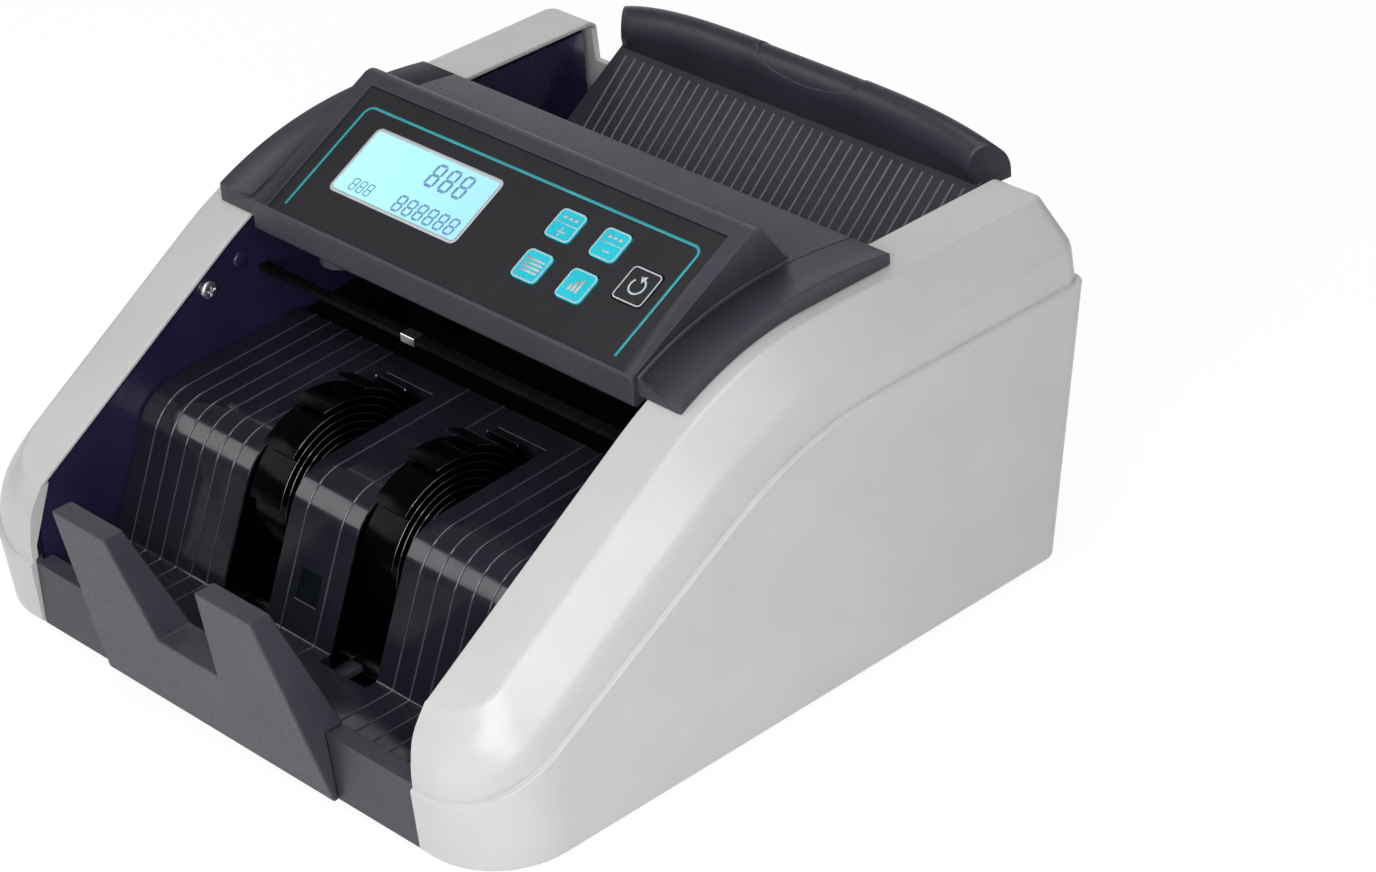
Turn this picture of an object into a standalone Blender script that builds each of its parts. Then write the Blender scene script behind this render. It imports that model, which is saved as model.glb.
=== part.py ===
"""A loose-banknote counter: hopper behind, control bridge across the middle, stacker in front.

Metres, +Z up, front facing -Y, feet on Z = 0. Places along Y are given from the front face of the sill;
every piece hangs on one empty that puts the middle of the machine's box over the origin.
"""

import math

import bmesh
import bpy
from mathutils import Vector

# Clearances and walls
GAP = 0.0003
SEAT_GAP = 0.0008
BORE_GAP = 0.0003
WALL = 0.0025

# Overall body: its width, the drive's pocket at each side of the note channel, its feet and its top
HALF_WIDTH = 0.1400
SIDE_POCKET = 0.0390
CHANNEL_HALF = HALF_WIDTH - SIDE_POCKET
FOOT_HEIGHT = 0.0040
COVER_TOP_Z = 0.1340
BASE_PLATE = 0.0015
BASE_TOP_Z = FOOT_HEIGHT + BASE_PLATE

# How round shapes are divided
ROUND_STEPS = 20
ARC_STEPS = 4
KEY_ARC_STEPS = 3
NOSE_STEPS = 6
CORNER_STEPS = 6
SIDE_STEPS = 20
PLATE_STEPS = 44
FLANGE_STEPS = 24
ROLL_STEPS = 12
BELT_STEPS = 10
SMOOTH_ANGLE = math.radians(30)

# Impellers in the stacker; the tray, the motor, the feed and the hopper follow one another behind them
IMPELLER_Y = 0.0840
IMPELLER_Z = 0.0520
IMPELLER_RADIUS = 0.0360
IMPELLER_HUB = 0.0100
IMPELLER_FINS = 20
IMPELLER_SIDE_GAP = 0.0040
IMPELLER_REAR_GAP = 0.0025
FIN_THICK = 0.0007
FIN_SWEEP = math.radians(200.0)
FIN_STEPS = 12

# Stacker tray: floor, steep face, rounded nose and a nearly level top
CENTRE_GUIDE_HALF = 0.0170
SIDE_GUIDE_HALF = 0.0410
TRAY_FLOOR_Z = 0.0240
FACE_FOOT_Y = 0.0340
NOSE_Y = 0.0555
GUIDE_NOSE_Z = 0.0722
GUIDE_REAR_Z = 0.0760
NOSE_RADIUS = 0.0200
TRAY_REAR_Y = IMPELLER_Y + IMPELLER_RADIUS + IMPELLER_REAR_GAP + WALL
SLOT_FOOT = 0.0045
SLOT_TUCK = 0.0050
SLOT_FRONT_Y = FACE_FOOT_Y - SLOT_FOOT
SLOT_REAR_Y = IMPELLER_Y + IMPELLER_RADIUS - SLOT_TUCK
SENSOR_HALF = 0.0055
SENSOR_HEIGHT = 0.0100
SENSOR_Z = 0.0400
SENSOR_DEPTH = 0.0060

# Motor, feed rollers and pick-up rollers
MOTOR_GAP = 0.0070
MOTOR_RADIUS = 0.0180
MOTOR_LENGTH = 0.0600
MOTOR_SHAFT_RADIUS = 0.0025
MOTOR_Y = TRAY_REAR_Y + MOTOR_GAP + MOTOR_RADIUS
MOTOR_Z = 0.0400
FEED_SPACING = 0.0500
FEED_Y = MOTOR_Y + FEED_SPACING
FEED_Z = 0.0660
FEED_RADIUS = 0.0180
FEED_ROLLER_X = 0.0300
FEED_ROLLER_WIDTH = 0.0240
PICKUP_ALONG = 0.0550
PICKUP_RADIUS = 0.0140
PICKUP_RISE = 0.0020
PICKUP_X = 0.0280
PICKUP_WIDTH = 0.0120

# Note chute: the tray's thin tail, under the notes' way from the feed rollers to the impellers
CHUTE_STEP = 0.0015
CHUTE_THICK = 0.0015
CHUTE_RISE = 0.0150
CHUTE_REAR_Y = FEED_Y - FEED_RADIUS
CHUTE_REAR_Z = FEED_Z + CHUTE_RISE

# Hopper: a tilted plate with a bowed roll along its top
HOPPER_SPACING = 0.0780
HOPPER_DROP = 0.0070
HOPPER_SIDE_GAP = 0.0015
HOPPER_TILT = math.radians(41.0)
HOPPER_LENGTH = 0.0700
HOPPER_HALF = CHANNEL_HALF - HOPPER_SIDE_GAP
HOPPER_TOP_Y = FEED_Y + HOPPER_SPACING
HOPPER_TOP_Z = COVER_TOP_Z - HOPPER_DROP
ROLL_INSET = 0.0080
ROLL_DEPTH = 0.0090
ROLL_END_RISE = 0.0110
ROLL_CREST_RISE = 0.0196
ROLL_RADIUS = 0.0050
ROLL_HALF = HOPPER_HALF - ROLL_INSET
ROLL_REAR_Y = HOPPER_TOP_Y + ROLL_DEPTH

# White side covers: a flat band, a bevel below it and a strip down to the seam
HOPPER_OVERHANG = 0.0030
COVER_REAR_Y = HOPPER_TOP_Y - HOPPER_OVERHANG
SEAM_STEP = 0.0015
STRIP_FLARE = 0.0025
BEVEL_WIDTH = 0.0130
SEAM_HALF = HALF_WIDTH - SEAM_STEP
CREASE_HALF = SEAM_HALF - STRIP_FLARE
BAND_HALF = CREASE_HALF - BEVEL_WIDTH
BAND_FRONT_Z = 0.0516
BEVEL_FRONT_DROP = 0.0158
BEVEL_TOP_DROP = 0.0140
STRIP_FRONT_DROP = 0.0066
STRIP_TOP_DROP = 0.0130
CREASE_FRONT_Z = BAND_FRONT_Z - BEVEL_FRONT_DROP
CREASE_TOP_Z = COVER_TOP_Z - BEVEL_TOP_DROP
SEAM_FRONT_Z = CREASE_FRONT_Z - STRIP_FRONT_DROP
SEAM_TOP_Z = CREASE_TOP_Z - STRIP_TOP_DROP
BAND_SLOPE = math.tan(math.radians(32.5))
SEAM_SLOPE = math.tan(math.radians(28.9))
ARCH_REACH = 0.0350
NOSE_DEPTH = 0.0080
NOSE_DROP = 0.0110
TAIL_DEPTH = 0.0040
TAIL_DROP = 0.0020
BAND_FRONT_RADIUS = 0.0200
CREASE_FRONT_RADIUS = 0.0260
SEAM_FRONT_RADIUS = 0.0300
COVER_REAR_RADIUS = 0.0110
COVER_DRAFT = 0.0008

# White lower tub and rubber feet
TUB_END_STEP = 0.0004
TUB_SIDE_DRAFT = 0.0025
TUB_FRONT_DRAFT = 0.0013
TUB_REAR_DRAFT = 0.0150
TUB_FRONT_Y = -2 * COVER_DRAFT - TUB_END_STEP
TUB_REAR_Y = COVER_REAR_Y + 2 * COVER_DRAFT + TUB_END_STEP
TUB_FOOT_HALF = HALF_WIDTH - TUB_SIDE_DRAFT
TUB_FOOT_FRONT_Y = TUB_FRONT_Y + TUB_FRONT_DRAFT
TUB_FOOT_REAR_Y = TUB_REAR_Y - TUB_REAR_DRAFT
REAR_WALL_LEAN = math.atan2(TUB_REAR_DRAFT, SEAM_TOP_Z - FOOT_HEIGHT)
FOOT_RADIUS = 0.0090
FOOT_SIDE_SET = 0.0295
FOOT_REAR_SET = 0.0290
FOOT_X = TUB_FOOT_HALF - FOOT_SIDE_SET
FOOT_FRONT_Y = 0.0340
FOOT_REAR_Y = TUB_FOOT_REAR_Y - FOOT_REAR_SET

# Steel side plates and what spans between them
PLATE_SETBACK = 0.0010
PLATE_THICK = 0.0020
PLATE_INNER_X = CHANNEL_HALF + PLATE_SETBACK
PLATE_FRONT_Y = 0.0050
PLATE_REAR_SET = 0.0060
PLATE_FOOT_SET = 0.0120
PLATE_SHOULDER_DROP = 0.0070
TRAY_HALF = PLATE_INNER_X - SEAT_GAP
TIE_ROD_Y = 0.0500
TIE_ROD_LIFT = 0.0055
TIE_ROD_RADIUS = 0.0030
GUIDE_BAR_Y = 0.1100
GUIDE_BAR_Z = 0.0970
GUIDE_BAR_DEPTH = 0.0040
GUIDE_BAR_THICK = 0.0020
SCREW_Y = 0.0872
SCREW_Z = 0.0987
SCREW_HEAD_RADIUS = 0.0034
SCREW_HEAD_HEIGHT = 0.0018
SCREW_SHANK_RADIUS = 0.0018
SCREW_SHANK_LENGTH = 0.0060

# Front sill and catch plate
SILL_DEPTH = 0.0071
SILL_TOP_Z = 0.0287
CATCH_TOP_Y = -0.0202
CATCH_TOP_Z = 0.0783
CATCH_LEAN = 0.2400
CATCH_BACK_LEAN = 0.3900
CATCH_TOP_DEPTH = 0.0082
CATCH_BOTTOM_Z = FOOT_HEIGHT + GAP
PRONG_OUTER_HALF = 0.0523
PRONG_INNER_HALF = 0.0240
NOTCH_HALF = 0.0157
NOTCH_Z = 0.0380
CATCH_FOOT_HALF = 0.0604
RUNNER_HALF = 0.0200
RUNNER_LIFT = 0.0090
RUNNER_THICK = 0.0030
RUNNER_PLAY = 0.0020
RUNNER_LOW_Z = FOOT_HEIGHT + RUNNER_LIFT
RUNNER_TOP_Z = RUNNER_LOW_Z + RUNNER_THICK
RUNNER_REAR_Y = TIE_ROD_Y - TIE_ROD_RADIUS - RUNNER_PLAY
TRAY_SKIRT_Z = RUNNER_TOP_Z + RUNNER_PLAY

# Control bridge: arched flanges on the bands, a wedge housing between them and a deck behind it
HOUSING_INSET = 0.0043
HOUSING_HALF = CHANNEL_HALF - HOUSING_INSET
DECK_SET = 0.0050
DECK_DEPTH = 0.0266
DECK_RISE = 0.0044
DECK_REAR_Y = FEED_Y + DECK_SET
DECK_Z = COVER_TOP_Z + DECK_RISE
HOUSING_REAR_RUN = 0.0254
HOUSING_REAR_Y = DECK_REAR_Y - DECK_DEPTH
PANEL_RISE = 0.0162
PANEL_Y = HOUSING_REAR_Y - HOUSING_REAR_RUN
PANEL_Z = COVER_TOP_Z + PANEL_RISE
PANEL_TILT = math.radians(27.8)
HOUSING_FRONT_RUN = 0.0460
HOUSING_FRONT_Y = PANEL_Y - HOUSING_FRONT_RUN
HOUSING_LIP_DROP = 0.0185
HOUSING_LIP_Z = COVER_TOP_Z - HOUSING_LIP_DROP
HOUSING_RIDGE_RUN = 0.0130
HOUSING_RIDGE_Y = PANEL_Y + HOUSING_RIDGE_RUN
HOUSING_REAR_RISE = 0.0020
HOUSING_REAR_Z = DECK_Z + HOUSING_REAR_RISE
HOUSING_SKIRT = 0.0020
HOUSING_SKIRT_Z = COVER_TOP_Z - HOUSING_SKIRT
RIDGE_RADIUS = 0.0050
LIP_RADIUS = 0.0015
FLANGE_INSET = 0.0060
FLANGE_HALF = BAND_HALF - FLANGE_INSET
FLANGE_FRONT_RUN = 0.0443
FLANGE_FRONT_Y = PANEL_Y - FLANGE_FRONT_RUN
FLANGE_FRONT_THICK = 0.0071
FLANGE_CROWN_RUN = 0.0030
FLANGE_CROWN_Y = PANEL_Y - FLANGE_CROWN_RUN
FLANGE_CROWN_RISE = 0.0130
FLANGE_CROWN_Z = COVER_TOP_Z + FLANGE_CROWN_RISE

# Panel, measured on its own slope
BEZEL_HEIGHT = 0.0009
BEZEL_SIDE = 0.0075
OVERLAY_HALF = HOUSING_HALF - BEZEL_SIDE
OVERLAY_TOP = 0.0071
OVERLAY_BOTTOM = -0.0500
OVERLAY_THICK = 0.0012
POCKET_FLOOR = 0.0020
KEY_ROOM = 0.0029
BOARD_DROP = OVERLAY_THICK + GAP + POCKET_FLOOR + KEY_ROOM
BOARD_THICK = 0.0016
BOARD_INSET = 0.0032
BOARD_END_SET = 0.0050
BOARD_HALF = OVERLAY_HALF - BOARD_INSET
BOARD_TOP = OVERLAY_TOP - BOARD_END_SET
BOARD_BOTTOM = OVERLAY_BOTTOM + BOARD_END_SET
BOSS_HALF = 0.0025
LCD_TOP = -0.0065
LCD_BOTTOM = -0.0342
LCD_RIM = 0.0020
KEY_HALF = 0.0062
RESTART_HALF = 0.0071
KEY_CORNER = 0.0022
KEY_FLANGE = 0.0010
KEY_RISE = 0.0004
KEY_TRAVEL = 0.0006
KEY_PITCH = 0.0216
KEY_ROWS = (-0.0119, -0.0300)
RESTART_ROW = -0.0215
RESTART_SIDE_SET = 0.0170
RESTART_X = OVERLAY_HALF - RESTART_SIDE_SET
KEY_COLUMNS = (RESTART_X - 2 * KEY_PITCH, RESTART_X - KEY_PITCH)
LCD_SIDE_SET = 0.0172
LCD_KEY_SET = 0.0360
LCD_LEFT = -OVERLAY_HALF + LCD_SIDE_SET
LCD_RIGHT = KEY_COLUMNS[0] - LCD_KEY_SET

# Shafts, bearings, pulleys and belts
SHAFT_RADIUS = 0.0040
SHAFT_END = 0.0030
BEARING_RADIUS = 0.0080
BEARING_LENGTH = 0.0040
BELT_WIDTH = 0.0060
BELT_THICK = 0.0012
BELT_SLACK = 0.0006
PULLEY_RIM_RISE = 0.0025
PULLEY_RIM_THICK = 0.0010
PULLEY_CLEAR = 0.0010
INNER_BELT_X = PLATE_INNER_X + BEARING_LENGTH + PULLEY_CLEAR + PULLEY_RIM_THICK
OUTER_BELT_X = INNER_BELT_X + BELT_WIDTH + 2 * PULLEY_RIM_THICK
SHAFT_RIGHT_X = OUTER_BELT_X + BELT_WIDTH + SHAFT_END
SHAFT_LEFT_X = -PLATE_INNER_X - BEARING_LENGTH - SHAFT_END
MOTOR_GROOVE = 0.0070
IMPELLER_GROOVE = 0.0210
FEED_GROOVE = 0.0140
PICKUP_GROOVE = 0.0120

# Separator over the feed rollers
SEPARATOR_HALF = 0.0140
SEPARATOR_DEPTH = 0.0110
SEPARATOR_LEAD = 0.0075
PAD_HEIGHT = 0.0065
PAD_GAP = 0.0020

# Electrics on the leaning rear wall and on the base plate
SWITCH_SIDE_SET = 0.0425
INLET_PITCH = 0.0350
SWITCH_X = -TUB_FOOT_HALF + SWITCH_SIDE_SET
INLET_X = SWITCH_X + INLET_PITCH
INLET_Z = 0.0400
INLET_HALF_X = 0.0135
INLET_HALF_Z = 0.0095
INLET_DEPTH = 0.0180
INLET_RIM = 0.0030
INLET_RECESS = 0.0120
INLET_WALL = 0.0018
PIN_HALF = 0.0010
PIN_LENGTH = 0.0090
PIN_PITCH = 0.0070
SWITCH_HALF_X = 0.0060
SWITCH_HALF_Z = 0.0095
SWITCH_DEPTH = 0.0100
SWITCH_RISE = 0.0030
SWITCH_GAP = 0.0006
SWITCH_THROW = math.radians(14.0)
KNOB_X = 0.0000
KNOB_DROP = 0.0220
KNOB_Z = SEAM_TOP_Z - KNOB_DROP
KNOB_RADIUS = 0.0090
KNOB_HEIGHT = 0.0080
KNOB_GRIPS = 12
KNOB_GRIP_DEPTH = 0.0009
KNOB_STEM_RADIUS = 0.0030
KNOB_STEM_LENGTH = 0.0100
MAIN_BOARD_SIDE_SET = 0.0070
MAIN_BOARD_WIDTH = 0.0870
MAIN_BOARD_LEFT_X = -PLATE_INNER_X + MAIN_BOARD_SIDE_SET
MAIN_BOARD_RIGHT_X = MAIN_BOARD_LEFT_X + MAIN_BOARD_WIDTH
MAIN_BOARD_LENGTH = 0.0970
MAIN_BOARD_REAR_SET = 0.0300
MAIN_BOARD_LIFT = 0.0075
MAIN_BOARD_LEG = 0.0030
TRANSFORMER_SIDE_SET = 0.0440
TRANSFORMER_X = PLATE_INNER_X - TRANSFORMER_SIDE_SET
TRANSFORMER_REAR_SET = 0.0360
TRANSFORMER_HALF_X = 0.0270
TRANSFORMER_HALF_Y = 0.0190
TRANSFORMER_HEIGHT = 0.0360
COIL_HALF_X = 0.0170
COIL_BULGE = 0.0050

# The middle of the machine's length, from the catch plate's tip to the back of the roll
MIDDLE_Y = (CATCH_TOP_Y + ROLL_REAR_Y) / 2


def clear_scene():
    for obj in list(bpy.data.objects):
        bpy.data.objects.remove(obj, do_unlink=True)


def finish(name, colour, roughness, metallic=0.0):
    """A plain Principled material in an sRGB hex colour."""
    channels = [int(colour[i:i + 2], 16) / 255 for i in (0, 2, 4)]
    linear = [c / 12.92 if c <= 0.04045 else ((c + 0.055) / 1.055) ** 2.4 for c in channels]
    material = bpy.data.materials.new(name)
    material.use_nodes = True
    shader = material.node_tree.nodes["Principled BSDF"]
    shader.inputs["Base Color"].default_value = (*linear, 1.0)
    shader.inputs["Roughness"].default_value = roughness
    shader.inputs["Metallic"].default_value = metallic
    return material


def empty(name, parent=None, location=(0, 0, 0), tilt=0.0):
    axes = bpy.data.objects.new(name, None)
    bpy.context.scene.collection.objects.link(axes)
    axes.parent = parent
    axes.location = location
    axes.rotation_euler.x = tilt
    return axes


def skin(rings, loop=False):
    """One closed mesh through rings of equal length, capped at both ends or joined end to end."""
    mesh = bpy.data.meshes.new("solid")
    bm = bmesh.new()
    rows = [[bm.verts.new(point) for point in ring] for ring in rings]
    pairs = list(zip(rows, rows[1:]))
    if loop:
        pairs.append((rows[-1], rows[0]))
    else:
        bm.faces.new(rows[0])
        bm.faces.new(rows[-1])
    for low, high in pairs:
        for i in range(len(low)):
            j = (i + 1) % len(low)
            bm.faces.new((low[i], low[j], high[j], high[i]))
    bmesh.ops.recalc_face_normals(bm, faces=bm.faces)
    bm.to_mesh(mesh)
    bm.free()
    return mesh


def box(low, high):
    (x0, y0, z0), (x1, y1, z1) = low, high
    floor = [(x0, y0), (x1, y0), (x1, y1), (x0, y1)]
    return slab(floor, z0, z1)


def prism(outline, x0, x1):
    """A side outline of (y, z) points, drawn out along X."""
    return skin([[(x, y, z) for y, z in outline] for x in (x0, x1)])


def slab(outline, z0, z1):
    """A plan outline of (x, y) points, drawn out along Z."""
    return skin([[(x, y, z) for x, y in outline] for z in (z0, z1)])


def circle(radius, count=ROUND_STEPS):
    turn = 2 * math.pi / count
    return [(radius * math.cos(i * turn), radius * math.sin(i * turn)) for i in range(count)]


def rod(radius, x0, x1):
    """A round bar along X about the local origin."""
    return prism(circle(radius), x0, x1)


def stepped_rod(sections):
    """A round bar along X whose (x, radius) sections follow one another."""
    return skin([[(x, y, z) for y, z in circle(radius)] for x, radius in sections])


def turned(profile):
    """A closed (x, radius) profile spun round X, with an open bore."""
    turn = 2 * math.pi / ROUND_STEPS
    rings = []
    for i in range(ROUND_STEPS):
        c, s = math.cos(i * turn), math.sin(i * turn)
        rings.append([(x, r * c, r * s) for x, r in profile])
    return skin(rings, loop=True)


def rounded(corners, steps=ARC_STEPS):
    """An outline from (u, v, radius) corners, with an arc at each corner that has a radius."""
    outline = []
    for i, (u, v, radius) in enumerate(corners):
        corner = Vector((u, v))
        if radius == 0:
            outline.append((u, v))
            continue
        to_last = (Vector(corners[i - 1][:2]) - corner).normalized()
        to_next = (Vector(corners[(i + 1) % len(corners)][:2]) - corner).normalized()
        half = to_last.angle(to_next) / 2
        centre = corner + (to_last + to_next).normalized() * radius / math.sin(half)
        start = corner + to_last * radius / math.tan(half) - centre
        end = corner + to_next * radius / math.tan(half) - centre
        first = math.atan2(start.y, start.x)
        sweep = math.remainder(math.atan2(end.y, end.x) - first, 2 * math.pi)
        for step in range(steps + 1):
            angle = first + sweep * step / steps
            outline.append((centre.x + radius * math.cos(angle), centre.y + radius * math.sin(angle)))
    return outline


def place(name, mesh, material, parent, location=(0, 0, 0)):
    """A node: one named solid, with its faces smooth where they meet at a shallow angle."""
    mesh.name = name
    mesh.materials.append(material)
    mesh.shade_smooth()
    mesh.set_sharp_from_angle(angle=SMOOTH_ANGLE)
    obj = bpy.data.objects.new(name, mesh)
    bpy.context.scene.collection.objects.link(obj)
    obj.parent = parent
    obj.location = location
    return obj


def shape(target, mesh, operation="DIFFERENCE", parent=None):
    """Cuts a solid from a node, or adds or crosses one, with a hidden helper on the node's parent."""
    helper = bpy.data.objects.new(target.name + "_helper", mesh)
    bpy.context.scene.collection.objects.link(helper)
    helper.parent = parent or target.parent
    helper.hide_render = True
    helper.display_type = "WIRE"
    modifier = target.modifiers.new(operation.lower(), "BOOLEAN")
    modifier.operation = operation
    modifier.solver = "EXACT"
    modifier.object = helper


def slope_then_flat(y, start_z, slope, flat_z):
    """Height of an edge that climbs from the front and rounds over into a level top."""
    meet = (flat_z - start_z) / slope
    if y <= meet - ARCH_REACH:
        return start_z + slope * y
    if y >= meet + ARCH_REACH:
        return flat_z
    return flat_z - slope * (meet + ARCH_REACH - y) ** 2 / (4 * ARCH_REACH)


def band_z(y):
    """Height of the covers' flat band, which drops away at the nose and at the tail."""
    nose = max(0.0, NOSE_DEPTH - y) / NOSE_DEPTH
    tail = max(0.0, y - COVER_REAR_Y + TAIL_DEPTH) / TAIL_DEPTH
    level = slope_then_flat(y, BAND_FRONT_Z, BAND_SLOPE, COVER_TOP_Z)
    return level - NOSE_DROP * nose ** 2 - TAIL_DROP * tail ** 2


def crease_z(y):
    return slope_then_flat(y, CREASE_FRONT_Z, BAND_SLOPE, CREASE_TOP_Z)


def seam_z(y):
    return slope_then_flat(y, SEAM_FRONT_Z, SEAM_SLOPE, SEAM_TOP_Z)


def side_path(half, front_y, rear_y, front_radius, rear_radius, inset=0.0):
    """Plan points from the channel's edge in front, round one side, to the channel's edge behind."""
    x = half - inset
    front = front_y + inset
    rear = rear_y - inset
    room = half - CHANNEL_HALF - GAP
    front_r = min(front_radius, room) - inset
    rear_r = min(rear_radius, room) - inset
    quarter = [math.pi / 2 * i / CORNER_STEPS for i in range(CORNER_STEPS + 1)]
    points = [(CHANNEL_HALF, front)]
    points += [(x - front_r * (1 - math.sin(a)), front + front_r * (1 - math.cos(a))) for a in quarter]
    span = rear - rear_r - front - front_r
    points += [(x, front + front_r + span * i / SIDE_STEPS) for i in range(1, SIDE_STEPS)]
    points += [(x - rear_r * (1 - math.cos(a)), rear - rear_r * (1 - math.sin(a))) for a in quarter]
    points.append((CHANNEL_HALF, rear))
    return points


def side_cover(name, side, material, parent):
    """One white cover: a wall swept round the side, from the band's inner edge down to the seam."""
    def wall(inset):
        band = side_path(BAND_HALF, 0, COVER_REAR_Y, BAND_FRONT_RADIUS, COVER_REAR_RADIUS, inset)
        crease = side_path(CREASE_HALF, -COVER_DRAFT, COVER_REAR_Y + COVER_DRAFT,
                           CREASE_FRONT_RADIUS, COVER_REAR_RADIUS, inset)
        seam = side_path(SEAM_HALF, -2 * COVER_DRAFT, COVER_REAR_Y + 2 * COVER_DRAFT,
                         SEAM_FRONT_RADIUS, COVER_REAR_RADIUS, inset)
        edge_front = inset + GAP
        edge_rear = COVER_REAR_Y - inset - GAP
        rows = []
        for (bx, by), (cx, cy), (sx, sy) in zip(band, crease, seam):
            ey = min(max(by, edge_front), edge_rear)
            rows.append([
                (side * CHANNEL_HALF, ey, band_z(ey) - inset),
                (side * bx, by, band_z(by) - inset),
                (side * cx, cy, crease_z(cy) - inset),
                (side * sx, sy, seam_z(sy)),
            ])
        return rows

    rings = [outer + inner[::-1] for outer, inner in zip(wall(0.0), wall(WALL))]
    return place(name, skin(rings), material, parent)


def base_tub(material, parent):
    """The white lower shell: both sides and the rear in one wall, leaning in towards its foot."""
    def right_wall(inset):
        top = side_path(HALF_WIDTH, TUB_FRONT_Y, TUB_REAR_Y, SEAM_FRONT_RADIUS, COVER_REAR_RADIUS, inset)
        foot = side_path(TUB_FOOT_HALF, TUB_FOOT_FRONT_Y, TUB_FOOT_REAR_Y,
                         SEAM_FRONT_RADIUS, COVER_REAR_RADIUS, inset)
        return [[(tx, ty, seam_z(ty) - GAP), (fx, fy, FOOT_HEIGHT)] for (tx, ty), (fx, fy) in zip(top, foot)]

    right = [outer + inner[::-1] for outer, inner in zip(right_wall(0.0), right_wall(WALL))]
    left = [[(-x, y, z) for x, y, z in ring] for ring in reversed(right)]
    tub = place("base_tub", skin(right + left), material, parent)
    rear = rear_axes(parent, 0.0, INLET_Z)
    shape(tub, box((INLET_X - INLET_HALF_X - GAP, -2 * WALL, -INLET_HALF_Z - GAP),
                   (INLET_X + INLET_HALF_X + GAP, WALL, INLET_HALF_Z + GAP)), parent=rear)
    shape(tub, box((SWITCH_X - SWITCH_HALF_X - SWITCH_GAP, -2 * WALL, -SWITCH_HALF_Z - SWITCH_GAP),
                   (SWITCH_X + SWITCH_HALF_X + SWITCH_GAP, WALL, SWITCH_HALF_Z + SWITCH_GAP)), parent=rear)
    stem_hole = circle(KNOB_STEM_RADIUS + BORE_GAP)
    knob = rear_axes(parent, KNOB_X, KNOB_Z)
    shape(tub, skin([[(x, y, z) for x, z in stem_hole] for y in (-2 * WALL, WALL)]), parent=knob)
    return tub


def rear_axes(parent, x, z):
    """Axes on the outside of the leaning rear wall: local +Y points out of the machine."""
    y = TUB_FOOT_REAR_Y + (z - FOOT_HEIGHT) * math.tan(REAR_WALL_LEAN)
    return empty("rear_axes", parent, (x, y, z), -REAR_WALL_LEAN)


def base_plan():
    """The base plate's outline inside the tub's wall, notched in front for the sill."""
    inset = WALL + GAP
    half = TUB_FOOT_HALF - inset
    front = TUB_FOOT_FRONT_Y + inset
    rear = TUB_FOOT_REAR_Y - inset
    notch_half = CHANNEL_HALF + GAP
    notch = SILL_DEPTH + GAP
    corner = min(SEAM_FRONT_RADIUS, TUB_FOOT_HALF - CHANNEL_HALF - GAP) - inset
    return rounded([
        (-notch_half, notch, 0), (notch_half, notch, 0), (notch_half, front, 0), (half, front, corner),
        (half, rear, COVER_REAR_RADIUS), (-half, rear, COVER_REAR_RADIUS),
        (-half, front, corner), (-notch_half, front, 0),
    ])


def casing(white, dark, steel, rubber, parent):
    side_cover("right_side_cover", 1, white, parent)
    side_cover("left_side_cover", -1, white, parent)
    base_tub(white, parent)
    edge = CHANNEL_HALF - GAP
    rear_cover_top = hopper_underside_z(COVER_REAR_Y - WALL) - GAP
    place("rear_cover", box((-edge, COVER_REAR_Y - WALL, SEAM_TOP_Z + GAP),
                            (edge, COVER_REAR_Y, rear_cover_top)), white, parent)
    place("base_plate", slab(base_plan(), FOOT_HEIGHT, BASE_TOP_Z), steel, parent)
    for name, x, y in (("front_left_foot", -FOOT_X, FOOT_FRONT_Y), ("front_right_foot", FOOT_X, FOOT_FRONT_Y),
                       ("rear_left_foot", -FOOT_X, FOOT_REAR_Y), ("rear_right_foot", FOOT_X, FOOT_REAR_Y)):
        place(name, slab(circle(FOOT_RADIUS), 0, FOOT_HEIGHT - GAP), rubber, parent, (x, y, 0))
    sill = place("front_sill", box((-edge, 0, FOOT_HEIGHT), (edge, SILL_DEPTH, SILL_TOP_Z)), dark, parent)
    slot_half = RUNNER_HALF + GAP
    shape(sill, box((-slot_half, -SILL_DEPTH, RUNNER_LOW_Z - GAP),
                    (slot_half, 2 * SILL_DEPTH, RUNNER_TOP_Z + GAP)))


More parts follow.
